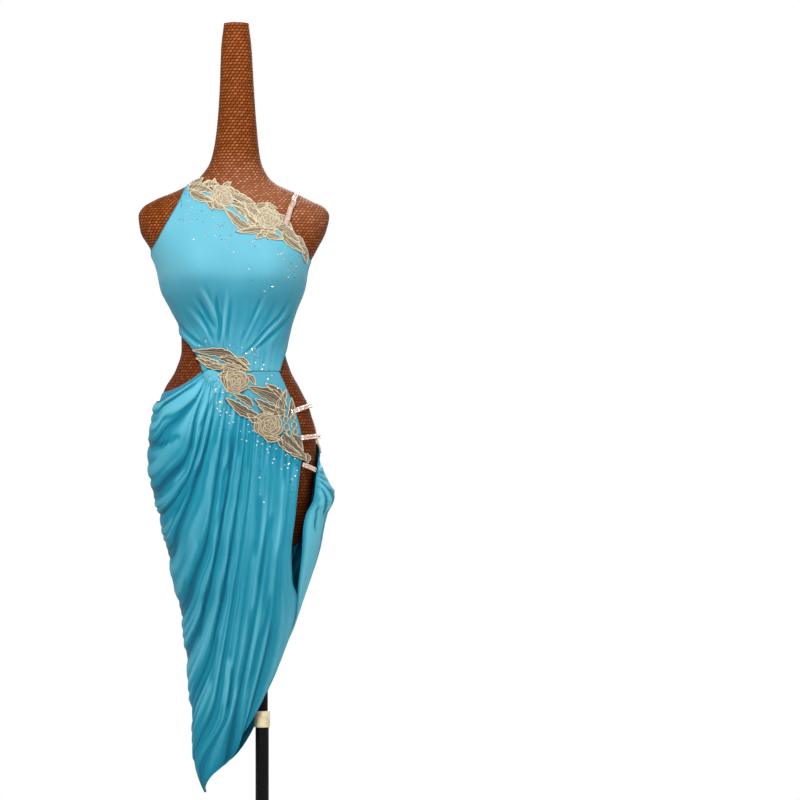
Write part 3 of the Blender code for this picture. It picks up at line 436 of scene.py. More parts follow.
def run_length(points, axis=0):
    """How far each point lies from the first one, along an axis of the points."""
    steps = np.linalg.norm(np.diff(points, axis=axis), axis=-1)
    return np.insert(np.cumsum(steps, axis=axis), 0, 0.0, axis=axis)


def smooth_curve(stations, values, where):
    """Values between the stations on a curve that never overshoots them."""
    stations, values = np.asarray(stations, float), np.asarray(values, float)
    widths = np.diff(stations)
    slopes = np.diff(values) / widths
    tangents = np.append(slopes, slopes[-1])
    before, after = slopes[:-1], slopes[1:]
    near, far = widths[1:], widths[:-1]
    with np.errstate(divide="ignore", invalid="ignore"):
        blend = 3 * (near + far) / ((2 * near + far) / before + (near + 2 * far) / after)
    tangents[1:-1] = np.where(before * after > 0, blend, 0.0)
    where = np.clip(where, stations[0], stations[-1])
    span = np.clip(np.searchsorted(stations, where, side="right") - 1, 0, len(slopes) - 1)
    t = (where - stations[span]) / widths[span]
    rise = values[span + 1] - values[span]
    start, end = tangents[span] * widths[span], tangents[span + 1] * widths[span]
    bend = 3 * rise - 2 * start - end + t * (start + end - 2 * rise)
    return values[span] + t * (start + t * bend)


def along(places, count, reach=TURN_REACH):
    """Evenly spaced places on a smooth path through places such as (turn, height)."""
    places = np.asarray(places, float)
    places = places[np.append(True, (np.diff(places, axis=0) != 0).any(axis=1))]
    lengths = run_length(places * [reach, 1.0])
    where = np.linspace(0.0, lengths[-1], count)
    return np.stack([smooth_curve(lengths, column, where) for column in places.T], axis=-1)


def across_curve(values, where):
    """Catmull-Rom values along the first axis at fractional places."""
    last = len(values) - 1
    span = np.clip(np.floor(where).astype(int), 0, last - 1)
    t = (where - span).reshape(-1, *[1] * (values.ndim - 1))
    p1, p2 = values[span], values[span + 1]
    p0, p3 = values[np.clip(span - 1, 0, last)], values[np.clip(span + 2, 0, last)]
    p0 = np.where((span == 0).reshape(t.shape), 2 * p1 - p2, p0)
    p3 = np.where((span == last - 1).reshape(t.shape), 2 * p2 - p1, p3)
    return 0.5 * (2 * p1 + (p2 - p0) * t + (2 * p0 - 5 * p1 + 4 * p2 - p3) * t ** 2
                  + (3 * p1 - p0 - 3 * p2 + p3) * t ** 3)


# ---------------------------------------------------------------- surfaces
class Body:
    """A rounded surface through level sections, reached by turn and height."""

    def __init__(self, sections, bust=False):
        self.table = dict(zip(SECTION_COLUMNS, np.array(sorted(sections), float).T))
        self.bust = bust

    def size(self, name, height):
        return smooth_curve(self.table["height"], self.table[name], height)

    def middle_and_half(self, height):
        left, right = self.size("left", height), self.size("right", height)
        return (left + right) / 2, (right - left) / 2

    def point(self, turn, height):
        turn, height = np.broadcast_arrays(np.radians(turn), np.asarray(height, float))
        middle, half = self.middle_and_half(height)
        power = 2 / self.size("squareness", height)
        across, deep = np.cos(turn), np.sin(turn)
        depth = np.where(deep > 0, self.size("front", height), self.size("back", height))
        x = middle + half * np.sign(across) * abs(across) ** power
        y = -np.sign(deep) * depth * abs(deep) ** power
        if self.bust:
            swell = np.exp(-((abs(x) - BUST_SPREAD) / BUST_WIDTH) ** 2
                           - ((height - BUST_HEIGHT) / BUST_TALL) ** 2)
            y = y - BUST_DEPTH * swell * np.clip(deep * BUST_EDGE, 0, 1)
        return np.stack([x, y, height], axis=-1)

    def normal(self, turn, height, step=0.5):
        round_body = self.point(turn + step, height) - self.point(turn - step, height)
        upward = self.point(turn, height + step) - self.point(turn, height - step)
        return unit(np.cross(upward, round_body))

    def lifted(self, turn, height, lift):
        lift = np.broadcast_to(lift, np.broadcast(turn, height).shape)
        return self.point(turn, height) + self.normal(turn, height) * lift[..., None]

    def seen_turn(self, across, height, edge=1.0):
        """The turn of what is seen from the front at a distance across."""
        middle, half = self.middle_and_half(height)
        share = np.clip((across - middle) / half, -edge, edge)
        power = self.size("squareness", height) / 2
        return np.degrees(np.arccos(np.sign(share) * abs(share) ** power))

    def place(self, spot):
        """(turn, height) of a place that is seen from the front or the back."""
        view, across, height = spot
        if view == "turn":
            return across, height
        turn = float(self.seen_turn(across, height))
        return (turn if view == "front" else 360 - turn), height

    def stations(self, spots):
        """Places of the spots, with the turn running on past a full circle."""
        turns, heights = zip(*map(self.place, spots))
        return np.stack([np.unwrap(turns, period=360), heights], axis=-1)

    def places(self, spots):
        """Stations, with more between spots in a row that are seen from one side."""
        dense = []
        for view, run in groupby(spots, key=lambda spot: spot[0]):
            flat = [spot[1:] for spot in run]
            if view != "turn" and len(flat) > 1:
                flat = along(flat, 14 * len(flat) - 13, reach=1.0)
            dense += [(view, *spot) for spot in flat]
        return self.stations(dense)


# ---------------------------------------------------------------- meshes
def make_object(name, points, faces, finish, uv=None, fold=None, thickness=0.0, smooth=True):
    """An object from points in millimetres, with a UV map and a value for each point: painted shade
    and light on the cloth, a tone on the lace and the cane.
    """
    mesh = bpy.data.meshes.new(name)
    corners = [list(map(int, face)) for face in faces]
    mesh.from_pydata((np.asarray(points) * MM).tolist(), [], corners)
    mesh.materials.append(finish)
    if uv is not None:
        loops = np.empty(len(mesh.loops), np.int32)
        mesh.loops.foreach_get("vertex_index", loops)
        layer = mesh.uv_layers.new(name="cloth")
        layer.data.foreach_set("uv", np.asarray(uv, np.float32)[loops].ravel())
    if fold is not None:
        shade = mesh.attributes.new("fold", "FLOAT", "POINT")
        shade.data.foreach_set("value", np.asarray(fold, np.float32).ravel())
    if smooth:
        mesh.shade_smooth()
    else:
        mesh.shade_flat()
    made = bpy.data.objects.new(name, mesh)
    bpy.context.scene.collection.objects.link(made)
    if thickness:
        solid = made.modifiers.new("thickness", "SOLIDIFY")
        solid.thickness = thickness * MM
        solid.offset = -1.0
        solid.use_rim = True
    return made


def grid_faces(rows, columns, closed=False):
    """Faces of a grid whose rows run down and whose columns run round."""
    index = np.arange(rows * columns).reshape(rows, columns)
    if closed:
        index = np.concatenate([index, index[:, :1]], axis=1)
    corners = [index[:-1, :-1], index[1:, :-1], index[1:, 1:], index[:-1, 1:]]
    return np.stack(corners, axis=-1).reshape(-1, 4)


def ring_faces(rings, size):
    """Faces that look outwards between rings of points along a path."""
    return np.roll(grid_faces(rings, size, closed=True)[:, ::-1], 1, axis=1)


def cloth(name, grid, finish, across=None, fold=1.0, thickness=1.0):
    """A thin sheet through a grid of points, its right side away from the body.

    The UV map measures the cloth across and down, or across by column where that is given.
    """
    points, faces = grid.reshape(-1, 3), grid_faces(*grid.shape[:2])
    a, b, c = (points[faces[:, k]] for k in range(3))
    if (np.cross(b - a, c - a) * (a + c) * [1, 1, 0]).sum() < 0:
        faces = faces[:, ::-1]
    across = run_length(grid, 1) if across is None else np.broadcast_to(across, grid.shape[:2])
    uv = np.stack([across, run_length(grid, 0)], axis=-1) * MM
    return make_object(name, points, faces, finish, uv.reshape(-1, 2),
                       np.broadcast_to(fold, grid.shape[:2]), thickness)


def tube(path, radius, up, sides=6, flat=1.0):
    """Points and faces of a round cord along a path, flattened along up where asked for."""
    run = unit(np.gradient(path, axis=0))
    side = unit(np.cross(run, up))
    rise = np.cross(side, run)
    angles = np.linspace(0, 2 * math.pi, sides, endpoint=False)
    points = path[:, None] + radius * (np.cos(angles)[None, :, None] * side[:, None]
                                       + flat * np.sin(angles)[None, :, None] * rise[:, None])
    return points.reshape(-1, 3), ring_faces(len(path), sides)


class Joined:
    """Several small shapes gathered into one mesh."""

    def __init__(self):
        self.points, self.faces, self.uv, self.fold, self.count = [], [], [], [], 0

    def add(self, points, faces, uv=None, fold=1.0):
        points = np.asarray(points, float).reshape(-1, 3)
        self.points.append(points)
        self.faces += [[int(corner) + self.count for corner in face] for face in faces]
        self.uv.append(points[:, [0, 2]] * MM if uv is None else np.asarray(uv).reshape(-1, 2))
        self.fold.append(np.broadcast_to(np.ravel(fold), len(points)))
        self.count += len(points)

    def make(self, name, finish, smooth=True):
        return make_object(name, np.concatenate(self.points), self.faces, finish,
                           np.concatenate(self.uv), np.concatenate(self.fold), smooth=smooth)


# ---------------------------------------------------------------- materials
class Term:
    """A number over the surface, a node's output, that sums can be written with."""

    def __init__(self, finish, socket):
        self.finish, self.socket = finish, socket

    def __add__(self, other):
        return self.finish.math("ADD", self, other)

    def __sub__(self, other):
        return self.finish.math("SUBTRACT", self, other)

    def __mul__(self, other):
        return self.finish.math("MULTIPLY", self, other)


class Nodes:
    """Short calls for the nodes that a material or the world is made of."""

    def __init__(self, tree):
        self.tree = tree

    def put(self, socket, value):
        if isinstance(value, Term):
            self.tree.links.new(value.socket, socket)
        else:
            socket.default_value = (*value, 1.0) if socket.type == "RGBA" else value

    def node(self, kind, inputs, output=0, **settings):
        """The output of a new node, whose inputs are numbers, colours or terms."""
        made = self.tree.nodes.new("ShaderNode" + kind)
        for setting, value in settings.items():
            setattr(made, setting, value)
        for socket, value in inputs.items():
            self.put(made.inputs[socket], value)
        return Term(self, made.outputs[output])

    def math(self, operation, first, second=0.0, **settings):
        return self.node("Math", {0: first, 1: second}, operation=operation, **settings)

    def mix(self, share, first, second):
        """A colour between two colours."""
        return self.node("Mix", {0: share, 6: first, 7: second}, 2, data_type="RGBA")

    def span(self, value, low, high, first=0.0, last=1.0):
        """From first to last while the value goes from low to high."""
        return self.node("MapRange", {0: value, 1: low, 2: high, 3: first, 4: last},
                         interpolation_type="SMOOTHSTEP")

    def axes(self, vector):
        parts = self.node("SeparateXYZ", {0: vector}).socket.node
        return [Term(self, socket) for socket in parts.outputs]

    def uv(self):
        return self.node("UVMap", {}, uv_map="cloth")

    def coordinates(self, kind="Object"):
        return self.node("TexCoord", {}, kind)

    # The per-point value: painted shade and light on the cloth, a tone on the lace and the cane.
    def fold(self):
        return self.node("Attribute", {}, "Fac", attribute_name="fold")

    def noise(self, scale, detail=3.0, where=None, stretch=None):
        where = where or self.coordinates()
        if stretch:
            where = self.node("Mapping", {"Vector": where, "Scale": stretch})
        return self.node("TexNoise", {"Vector": where, "Scale": scale, "Detail": detail}, "Fac")

    def bands(self, scale, distortion=0.0, direction="Y"):
        inputs = {"Vector": self.uv(), "Scale": scale, "Distortion": distortion}
        return self.node("TexWave", inputs, "Fac", bands_direction=direction)


class Finish(Nodes):
    """A node material round the Principled shader."""

    def __init__(self, name, roughness, metallic=0.0, **sockets):
        self.material = bpy.data.materials.new(name)
        self.material.use_nodes = True
        super().__init__(self.material.node_tree)
        self.shader = self.tree.nodes["Principled BSDF"]
        for socket, value in dict(sockets, Roughness=roughness, Metallic=metallic).items():
            self.shader.inputs[socket.replace("_", " ")].default_value = value

    def done(self, colour, relief=None, strength=0.0, depth=0.0):
        """The material, once it has its colour and the relief of its surface."""
        self.put(self.shader.inputs["Base Color"], colour)
        if relief:
            inputs = {"Height": relief, "Strength": strength, "Distance": depth}
            self.put(self.shader.inputs["Normal"], self.node("Bump", inputs))
        return self.material


def blue_cloth(name, deep, middle, light, crinkled=0.30):
    """Fine stretch jersey with thin crinkles along the folds, painted from its deep to its light
    colour by each point's value: painted shade, deeper in the hollows, and painted highlight on the
    ridges.
    """
    finish = Finish(name, 0.6, Sheen_Weight=0.05, Sheen_Roughness=0.35,
                    Sheen_Tint=(0.6, 0.9, 1.0, 1.0), Specular_IOR_Level=0.12,
                    Subsurface_Weight=0.2, Subsurface_Scale=0.004,
                    Subsurface_Radius=(0.5, 0.9, 1.0))
    crinkle = finish.noise(60.0, 4.0, finish.uv(), (4.0, 0.16, 1.0))
    height = finish.fold() + (crinkle - 0.3) * crinkled + finish.noise(5.0, 2.0) * 0.24
    # Painted shade and light: the deep colour in the hollows, the light one on the ridges.
    under = finish.mix(finish.span(height, 0.15, 0.80), deep, middle)
    colour = finish.mix(finish.span(height, 0.80, 1.60), under, light)
    return finish.done(colour, crinkle + finish.bands(260.0, 0.6) * 0.12, 0.35, 0.0012)


def rattan():
    """Varnished flat cane, woven in rows of short stitches that are offset from row to row."""
    stitch, row, slant = 0.0090, 0.0064, 0.22
    finish = Finish("woven_rattan", 0.6, Specular_IOR_Level=0.03)
    across, upward, _ = finish.axes(finish.uv())
    up = finish.math("DIVIDE", upward, row)
    level, into_row = finish.math("FLOOR", up), finish.math("FRACT", up)
    offset = finish.math("MODULO", level, 2.0) * 0.5
    round_it = finish.math("DIVIDE", across, stitch) + offset + into_row * slant
    arch_across, arch_up = (
        finish.math("POWER", finish.math("SINE", share * math.pi), power)
        for share, power in ((finish.math("FRACT", round_it), 0.55), (into_row, 0.6)))
    height = arch_across * arch_up
    cell = finish.node("CombineXYZ", {0: finish.math("FLOOR", round_it), 1: level})
    each = finish.node("TexWhiteNoise", {"Vector": cell}, "Value", noise_dimensions="2D")
    grain = finish.noise(900.0, 3.0, finish.uv(), (0.3, 1.6, 1.0))
    # Each stitch has a random tone; the gaps between the stitches are painted dark, painted shade.
    tone = finish.math("MULTIPLY", each * 0.35 + grain * 0.5 + 0.35,
                       finish.span(height, 0.10, 0.75), use_clamp=True)
    # Painted light: a paler, painted highlight across the upper chest, with more painted glints
    # there; painted shade, darker and redder from the waist down.
    x, y, z = finish.axes(finish.coordinates())
    painted_chest_light = (finish.span(z, 1.26, 1.38) * finish.span(x, -0.16, 0.10)
             * finish.span(z, 1.48, 1.38) * finish.span(y, 0.02, -0.04))
    body = finish.mix(tone, (0.022, 0.0040, 0.001), (0.225, 0.055, 0.009))
    below = finish.span(z, 0.98, 1.20) * -0.45 + 0.45
    body = finish.mix(below, body, (0.055, 0.009, 0.003))
    body = finish.mix(painted_chest_light * 0.22, body, (0.42, 0.20, 0.12))
    # Painted glints: a pale spot on the top of each stitch, painted highlights.
    painted_glints = finish.span(height, 0.80, 1.0) * finish.span(each, 0.2, 1.0) * (painted_chest_light * 0.50 + 0.10)
    body = finish.mix(painted_glints, body, (0.78, 0.52, 0.38))
    seam = finish.span(finish.fold(), 0.0, 0.9)
    colour = finish.mix(seam, (0.03, 0.008, 0.005), body)
    return finish.done(colour, (height + grain * 0.12) * seam, 0.35, 0.0005)


def gold_lace(name, ground, cord):
    """Corded champagne lace: matt thread with a soft metallic shine."""
    finish = Finish(name, 0.48, 0.25, Sheen_Weight=0.3, Specular_IOR_Level=0.5)
    thread = finish.noise(900.0)
    # The darkest colour, on the lace's ground under the cords, is painted shade.
    tone = finish.fold() * 0.9 + thread * 0.35
    return finish.done(finish.mix(finish.span(tone, 0.15, 1.1), ground, cord),
                       thread + finish.bands(420.0, 3.0, "DIAGONAL"), 0.6, 0.0005)


def nude_elastic():
    finish = Finish("nude_elastic", 0.5, 0.1, Specular_IOR_Level=0.5)
    ribs = finish.bands(300.0)
    return finish.done(finish.mix(ribs, (0.36, 0.22, 0.16), (0.66, 0.46, 0.36)), ribs, 0.5, 0.0004)


def clouded(name, roughness, clouds, reach, first, second, grain=None, metallic=0.0, **sockets):
    """A plain material with clouds of a second colour and, where given, a fine grain."""
    finish = Finish(name, roughness, metallic, **sockets)
    colour = finish.mix(finish.span(finish.noise(**clouds), *reach), first, second)
    if grain is None:
        return finish.done(colour)
    scale, strength = grain
    return finish.done(colour, finish.noise(scale, 2.0), strength, 0.0003)


def stone(name, dark, light):
    """Foil-backed cut stones, each a little different."""
    return clouded(name, 0.06, dict(scale=240.0, detail=1.0), (0.35, 0.65), dark, light,
                   metallic=0.85, Coat_Weight=1.0, Coat_Roughness=0.03)


def black_metal():
    """Satin powder coat with a fine orange-peel and a few dull scuffs."""
    return clouded("black_powder_coat", 0.5, dict(scale=18.0, detail=5.0, stretch=(1.0, 1.0, 0.15)),
                   (0.55, 0.8), (0.003, 0.003, 0.0035), (0.010, 0.010, 0.010), (1400.0, 0.25),
                   Specular_IOR_Level=0.07)


def beige_plastic():
    """Moulded plastic with a slight grain and browner stains."""
    return clouded("beige_plastic", 0.46, dict(scale=60.0), (0.4, 0.75), (0.56, 0.48, 0.31),
                   (0.40, 0.32, 0.19), (700.0, 0.2))


# ---------------------------------------------------------------- folds
def seen_from(points, front=True):
    """Distance across and height of the points on one side, the others far away."""
    over_the_side, far_away = 25.0, 1e6
    facing = (points[..., 1] if front else -points[..., 1]) < over_the_side
    return np.where(facing[..., None], points[..., [0, 2]], far_away)


def carve(seen, table, fade=0.22):
    """Changes of lift at the places that follow a table of single creases."""
    lift, spacing = np.zeros(seen.shape[:2]), 1.5
    for depth, width, stops in table:
        path = along(stops, int(run_length(stops)[-1] / spacing) + 2, reach=1.0)
        low, high = path.min(axis=0) - 3 * width, path.max(axis=0) + 3 * width
        near = ((seen > low) & (seen < high)).all(axis=-1)
        if not near.any():
            continue
        gaps = np.linalg.norm(seen[near][:, None] - path[None], axis=-1)
        run = gaps.argmin(axis=1) / (len(path) - 1)
        ends = ramp(run, 0, fade) * ramp(run, 1, 0.75)
        ends = ends * ends * (3 - 2 * ends)
        lift[near] -= depth * ends * np.exp(-(gaps.min(axis=1) / width) ** 2)
    return lift


def seam_folds(columns, share, seed, depth, last):
    """Small folds pinched into the side seam, the same for both panels that meet there."""
    draw = np.random.default_rng(seed)
    lift = np.zeros((len(share), len(columns)))
    start = 0.10
    while start < last:
        width, tall = draw.uniform(0.16, 0.46), draw.uniform(0.25, 1.0) * depth
        reach, power = draw.uniform(0.16, 0.50), draw.uniform(0.9, 1.6)
        t = (columns - start) / width
        bump = np.sin(math.pi * np.clip(t, 0, 1)) ** 0.6 - 0.35
        notch = 0.5 * np.exp(-(t / 0.16) ** 2)
        grown = ramp(share, 1 - reach, 1) ** power
        lift += tall * grown[:, None] * (np.where((t > 0) & (t < 1), bump, 0.0) - notch)
        start += width
    return lift


def creases(columns, share, count, seed, depth, spread, reach=(-0.2, 0.75)):
    """Narrow creases between the main folds, each with its own place, length and depth."""
    draw = np.random.default_rng(seed)
    lift = np.zeros((len(share), len(columns)))
    for _ in range(count):
        centre = draw.uniform(columns[0], columns[-1])
        start, length = draw.uniform(*reach), draw.uniform(0.3, 0.9)
        width, drift = draw.uniform(*spread), draw.uniform(-0.22, 0.22)
        tall = draw.uniform(0.35, 1.0) * depth * draw.choice([-1.0, -1.0, 1.0])
        run = ramp(share, start, start + length)
        near = (columns[None, :] - (centre + drift * run ** 1.3)[:, None]) / width
        lift += tall * np.sin(math.pi * run)[:, None] * np.exp(-near ** 2)
    return lift


def folded_cloth(body, table, along_shares, rows, per_gap, crests=None, leads=None):
    """Turns, heights, fold lifts and their places, on a fine grid over a panel.

    The first rows run from the leads, places under the lace, to where the paths start.
    The crests are what the folds come to at the seam.
    """
    share = np.linspace(0, 1, rows)
    hollows = np.stack([along(body.places(row.path), rows) for row in table])
    columns = np.linspace(0, len(table) - 1, per_gap * (len(table) - 1) + 1)
    gap = np.clip(np.floor(columns).astype(int), 0, len(table) - 2)
    crest = np.array([row.crest for row in table], float)[gap][None, :]
    if leads:
        starts = body.stations(leads)[:, None]
        still = np.linspace(1, 0, LEAD_ROWS + 1)[:-1, None]
        before = hollows[:, :1] + still * (starts - hollows[:, :1])
        hollows = np.concatenate([before, hollows], axis=1)
        share = np.concatenate([np.zeros(LEAD_ROWS), share])
        joined = np.array(crests, float)[gap][None, :]
        crest = crest + (joined - crest) * ramp(share, 0.75, 1)[:, None] ** 2
    places = across_curve(hollows, columns).transpose(1, 0, 2)
    rise = smooth_curve(*zip(*along_shares), share)[:, None]
    lift = crest * rise * smooth_curve(*zip(*FOLD_ACROSS), columns - gap)[None, :]
    return places[..., 0], places[..., 1], lift, columns, share


def blurred(values, across, down):
    """Values averaged over a window of columns and rows, twice."""
    for axis, reach in ((1, across), (0, down)):
        for _ in range(2):
            pad = [(0, 0), (0, 0)]
            pad[axis] = (reach + 1, reach)
            total = np.cumsum(np.pad(values, pad, mode="edge"), axis=axis)
            start = np.arange(values.shape[axis])
            high = np.take(total, start + 2 * reach + 1, axis=axis)
            values = (high - np.take(total, start, axis=axis)) / (2 * reach + 1)
    return values


def hollowness(lift, per_gap, rows):
    """0 deep in a hollow to 1 on a ridge, by how the cloth stands against what is near: painted
    shade in the hollows, painted highlight on the ridges.
    """
    close = blurred(lift, per_gap // 3, max(2, rows // 40))
    wide = blurred(lift, per_gap, max(2, rows // 30))
    return np.clip(0.60 + (lift - close) / 4.5 + (lift - wide) / 22.0, 0, 1)


# ---------------------------------------------------------------- form
def pole_ring(angles, radius, height):
    """A level ring round the pole."""
    flat = radius * circle(angles) + [POLE_X, 0.0]
    return np.column_stack([flat, np.full(len(angles), height)])


def woven_form(body, finish):
    """The cane shell with its seam down the back, the neck's cap and the pole's socket."""
    rows, half_stitch, seam_reach = 297, 4.5, 2.4
    fine = np.arange(FORM_SECTIONS[0][0], FORM_SECTIONS[-1][0] - 0.5, -1.0)
    spread = np.arange(0, 360, 6.0)
    path = run_length(body.point(spread[None, :], fine[:, None])).mean(axis=1)
    down = np.linspace(0, path[-1], rows)
    turn = np.linspace(-90, 270, 217)
    turns, heights = np.meshgrid(turn, np.interp(down, path, fine))
    arc = run_length(body.point(turns, heights), 1)
    whole = arc[:, [-1]]
    groove = np.exp(-(np.minimum(arc, whole - arc) / seam_reach) ** 2)
    points = body.lifted(turns, heights, -groove)
    faces = grid_faces(*turns.shape)
    # The weave is counted from the front's middle, and behind from the seam.
    column = turn[faces[:, 0] % len(turn)]
    in_front = (column >= 0) & (column < 180)
    from_front = (arc - arc[:, [len(turn) // 2]]).ravel()
    from_seam = np.where(turns < 90, arc, arc - whole).ravel() + half_stitch
    u = np.where(in_front[:, None], from_front[faces], from_seam[faces])
    uv = np.stack([u, np.repeat(-down, len(turn))[faces]], axis=-1) * MM
    parts = Joined()
    parts.add(points, faces, fold=1 - groove)
    # The cap on the neck and the underside with the socket for the pole.
    neck, foot = points[0, :-1], points[-1, :-1]
    cap = [neck * share + (1 - share) * neck.mean(axis=0) + [0, 0, 3.0 * (1 - share ** 2)]
           for share in (0.05, 0.3, 0.6, 0.92)]
    angles = -np.radians(turn[:-1])
    socket = pole_ring(angles, SOCKET_RADIUS, 0.0)
    below = [foot + (socket - foot) * [1, 1, 0] * share for share in (0, 0.04, 0.35, 0.7, 1.0)]
    inside = [pole_ring(angles, radius, height) for radius, height in (
        (SOCKET_RADIUS, foot[0, 2] + 1.0), (SOCKET_RADIUS, 720.0), (SOCKET_RADIUS, SOCKET_TOP),
        (0.02 * SOCKET_RADIUS, SOCKET_TOP))]
    for rings in (np.stack([*cap, neck]), np.stack(below + inside)):
        parts.add(rings, grid_faces(*rings.shape[:2], closed=True))
    made = parts.make("woven_form", finish)
    layer = made.data.uv_layers["cloth"]
    spots = np.empty(len(made.data.loops) * 2, np.float32)
    layer.data.foreach_get("uv", spots)
    spots[:uv.size] = uv.ravel()
    layer.data.foreach_set("uv", spots)
    return made


# ---------------------------------------------------------------- what lies on the cloth
class Cover:
    """Where the outermost cloth is, felt from outside along the form's normals."""

    def __init__(self, body, layers):
        self.body = body
        points, polygons = [], []
        for grid in layers:
            polygons += (grid_faces(*grid.shape[:2]) + len(points)).tolist()
            points += grid.reshape(-1, 3).tolist()
        self.tree = BVHTree.FromPolygons(points, polygons)

    def hit(self, turn, height, reach=60.0):
        """The lift, the point and the normal of the cloth there."""
        out = self.body.normal(turn, height)
        start = self.body.point(turn, height) + out * reach
        point, normal, _, distance = self.tree.ray_cast(Vector(start), Vector(-out), reach)
        if point is None:
            return 0.0, start - out * reach, out
        normal = np.array(normal)
        return reach - distance, np.array(point), normal if normal @ out > 0 else -normal

    def smooth_lifts(self, turns, heights, reach=2):
        """A lookup of lifts, taken at the ridges and blurred over a reach of cells."""
        high = np.array([[self.hit(t, h)[0] for t in turns] for h in heights])
        for axis in (0, 1):
            high = np.max([np.roll(high, k, axis=axis) for k in range(-reach, reach + 1)], axis=0)
        high = blurred(high, reach, reach)

        def lookup(turn, height):
            row, column = (
                np.clip((value - marks[0]) / (marks[1] - marks[0]), 0, len(marks) - 1.001)
                for value, marks in ((height, heights), (turn, turns)))
            i, j = row.astype(int), column.astype(int)
            a, b = row - i, column - j
            return ((1 - a) * ((1 - b) * high[i, j] + b * high[i, j + 1])
                    + a * ((1 - b) * high[i + 1, j] + b * high[i + 1, j + 1]))
        return lookup


class LaceField:
    """Turns flat lace shapes into points on the cloth.

    Their first measure is along the body at a level, or across it for lace laid in front.
    """

    def __init__(self, body, lifts, level):
        self.body, self.lifts, self.in_front = body, lifts, level is None
        if not self.in_front:
            self.turns = np.arange(-30.0, 460.0, 1.0)
            self.arcs = run_length(body.point(self.turns, float(level)))

    def flat(self, spot):
        if self.in_front:
            return np.array(spot, float)
        turn, height = self.body.place(spot)
        return np.array([np.interp(turn, self.turns, self.arcs), height])

    def turn(self, flat):
        if self.in_front:
            return self.body.seen_turn(flat[..., 0], flat[..., 1], 0.995)
        return np.interp(flat[..., 0], self.arcs, self.turns)

    def lay(self, flat, rise):
        turn, height = self.turn(flat), flat[..., 1]
        return self.body.lifted(turn, height, self.lifts(turn, height) + rise)


def thread(parts, field, flat, rise, radius, sides=5, tone=0.9):
    """A cord laid along a flat path, with its upper side rounded."""
    path = field.lay(flat, rise)
    out = field.body.normal(field.turn(flat), flat[..., 1])
    points, faces = tube(path, radius, out, sides, 0.9)
    uv = np.broadcast_arrays(run_length(path)[:, None], np.arange(sides) * 0.6)
    parts.add(points, faces, np.stack(uv, axis=-1) * MM, tone)


def leaf(ground, cords, field, base, tip, width, bend, lobes, curl, rows=27):
    """A leaf of cords laid side by side on a ground painted dark as the shade between them, drawn
    to a point at its tip.
    """
    cord_pitch, sunk = 4.4, -0.4
    base, tip = field.flat(base), field.flat(tip)
    run = tip - base
    side = np.array([-run[1], run[0]]) / np.linalg.norm(run)
    share = np.linspace(0, 1, rows)
    sway = bend * (np.sin(math.pi * share) + 0.28 * np.sin(2 * math.pi * share))
    centre = base + share[:, None] * run + sway[:, None] * side
    half = width / 2 * (0.30 + 0.70 * np.sin(math.pi * share ** 0.72)) * (1 - share ** 6)
    half = half * (0.84 + 0.26 * np.abs(np.sin(math.pi * (lobes + 1.5) * share ** 0.85)))
    lifted = curl * share ** 2
    columns = np.linspace(-1, 1, 7)
    flat = centre[:, None] + (half[:, None] * columns)[..., None] * side
    rise = 0.9 + lifted[:, None] + 0.8 * (1 - columns[None, :] ** 2)
    rise[:, [0, -1]] = sunk
    ground.add(field.lay(flat, rise), grid_faces(*rise.shape), fold=0.12)
    count = max(3, int(width / cord_pitch) + 1)
    for k in range(count):
        across = -1 + 2 * k / (count - 1)
        outer = k in (0, count - 1)
        first = 0 if outer else int(rows * 0.12 * (1 + math.sin(k * 2.1 + width)))
        last = rows - 1 if outer else rows - 2 - int(2 * (1 + math.sin(k * 3.3)))
        swing = 0.10 * math.sin(k * 1.9) * np.sin(2 * math.pi * share)
        line = centre + ((0.93 * across + swing * (not outer)) * half)[:, None] * side
        high = 1.5 + lifted + 0.8 * (1 - across ** 2)
        thread(cords, field, line[first:last], high[first:last], 0.95 if outer else 0.80,
               tone=0.92 if outer else 0.42 + 0.30 * math.sin(k * 2.7 + width))


def petal(parts, field, centre, direction, inner, outer, spread, low, high):
    """A rounded petal, set askew, that rises from its root to a corded rim."""
    columns, t = np.linspace(-1, 1, 9)[None, :], np.linspace(0, 1, 7)[:, None]
    askew = 0.14 * (outer - inner) * columns * t
    radius = inner + (outer - inner) * t * (1 - 0.20 * columns ** 2) + askew
    angle = direction + spread * columns * (0.55 + 0.45 * np.sin(math.pi / 2 * t))
    flat = centre + radius[..., None] * circle(angle)
    rise = low + (high - low) * t ** 1.6 - 0.5 * columns ** 2 * t
    parts.add(field.lay(flat, rise), grid_faces(*rise.shape), fold=0.12 + 0.26 * t + 0 * columns)
    rim, rim_rise = (np.concatenate([grid[2:, 0], grid[-1, 1:]]) for grid in (flat, rise))
    thread(parts, field, rim, rim_rise + 0.2, 0.85, tone=0.80)
    if outer - inner > 7:
        inside = centre + 0.84 * (flat[-1, 1:-1] - centre)
        thread(parts, field, inside, rise[-1, 1:-1] + 0.1, 0.6, 4, tone=0.5)


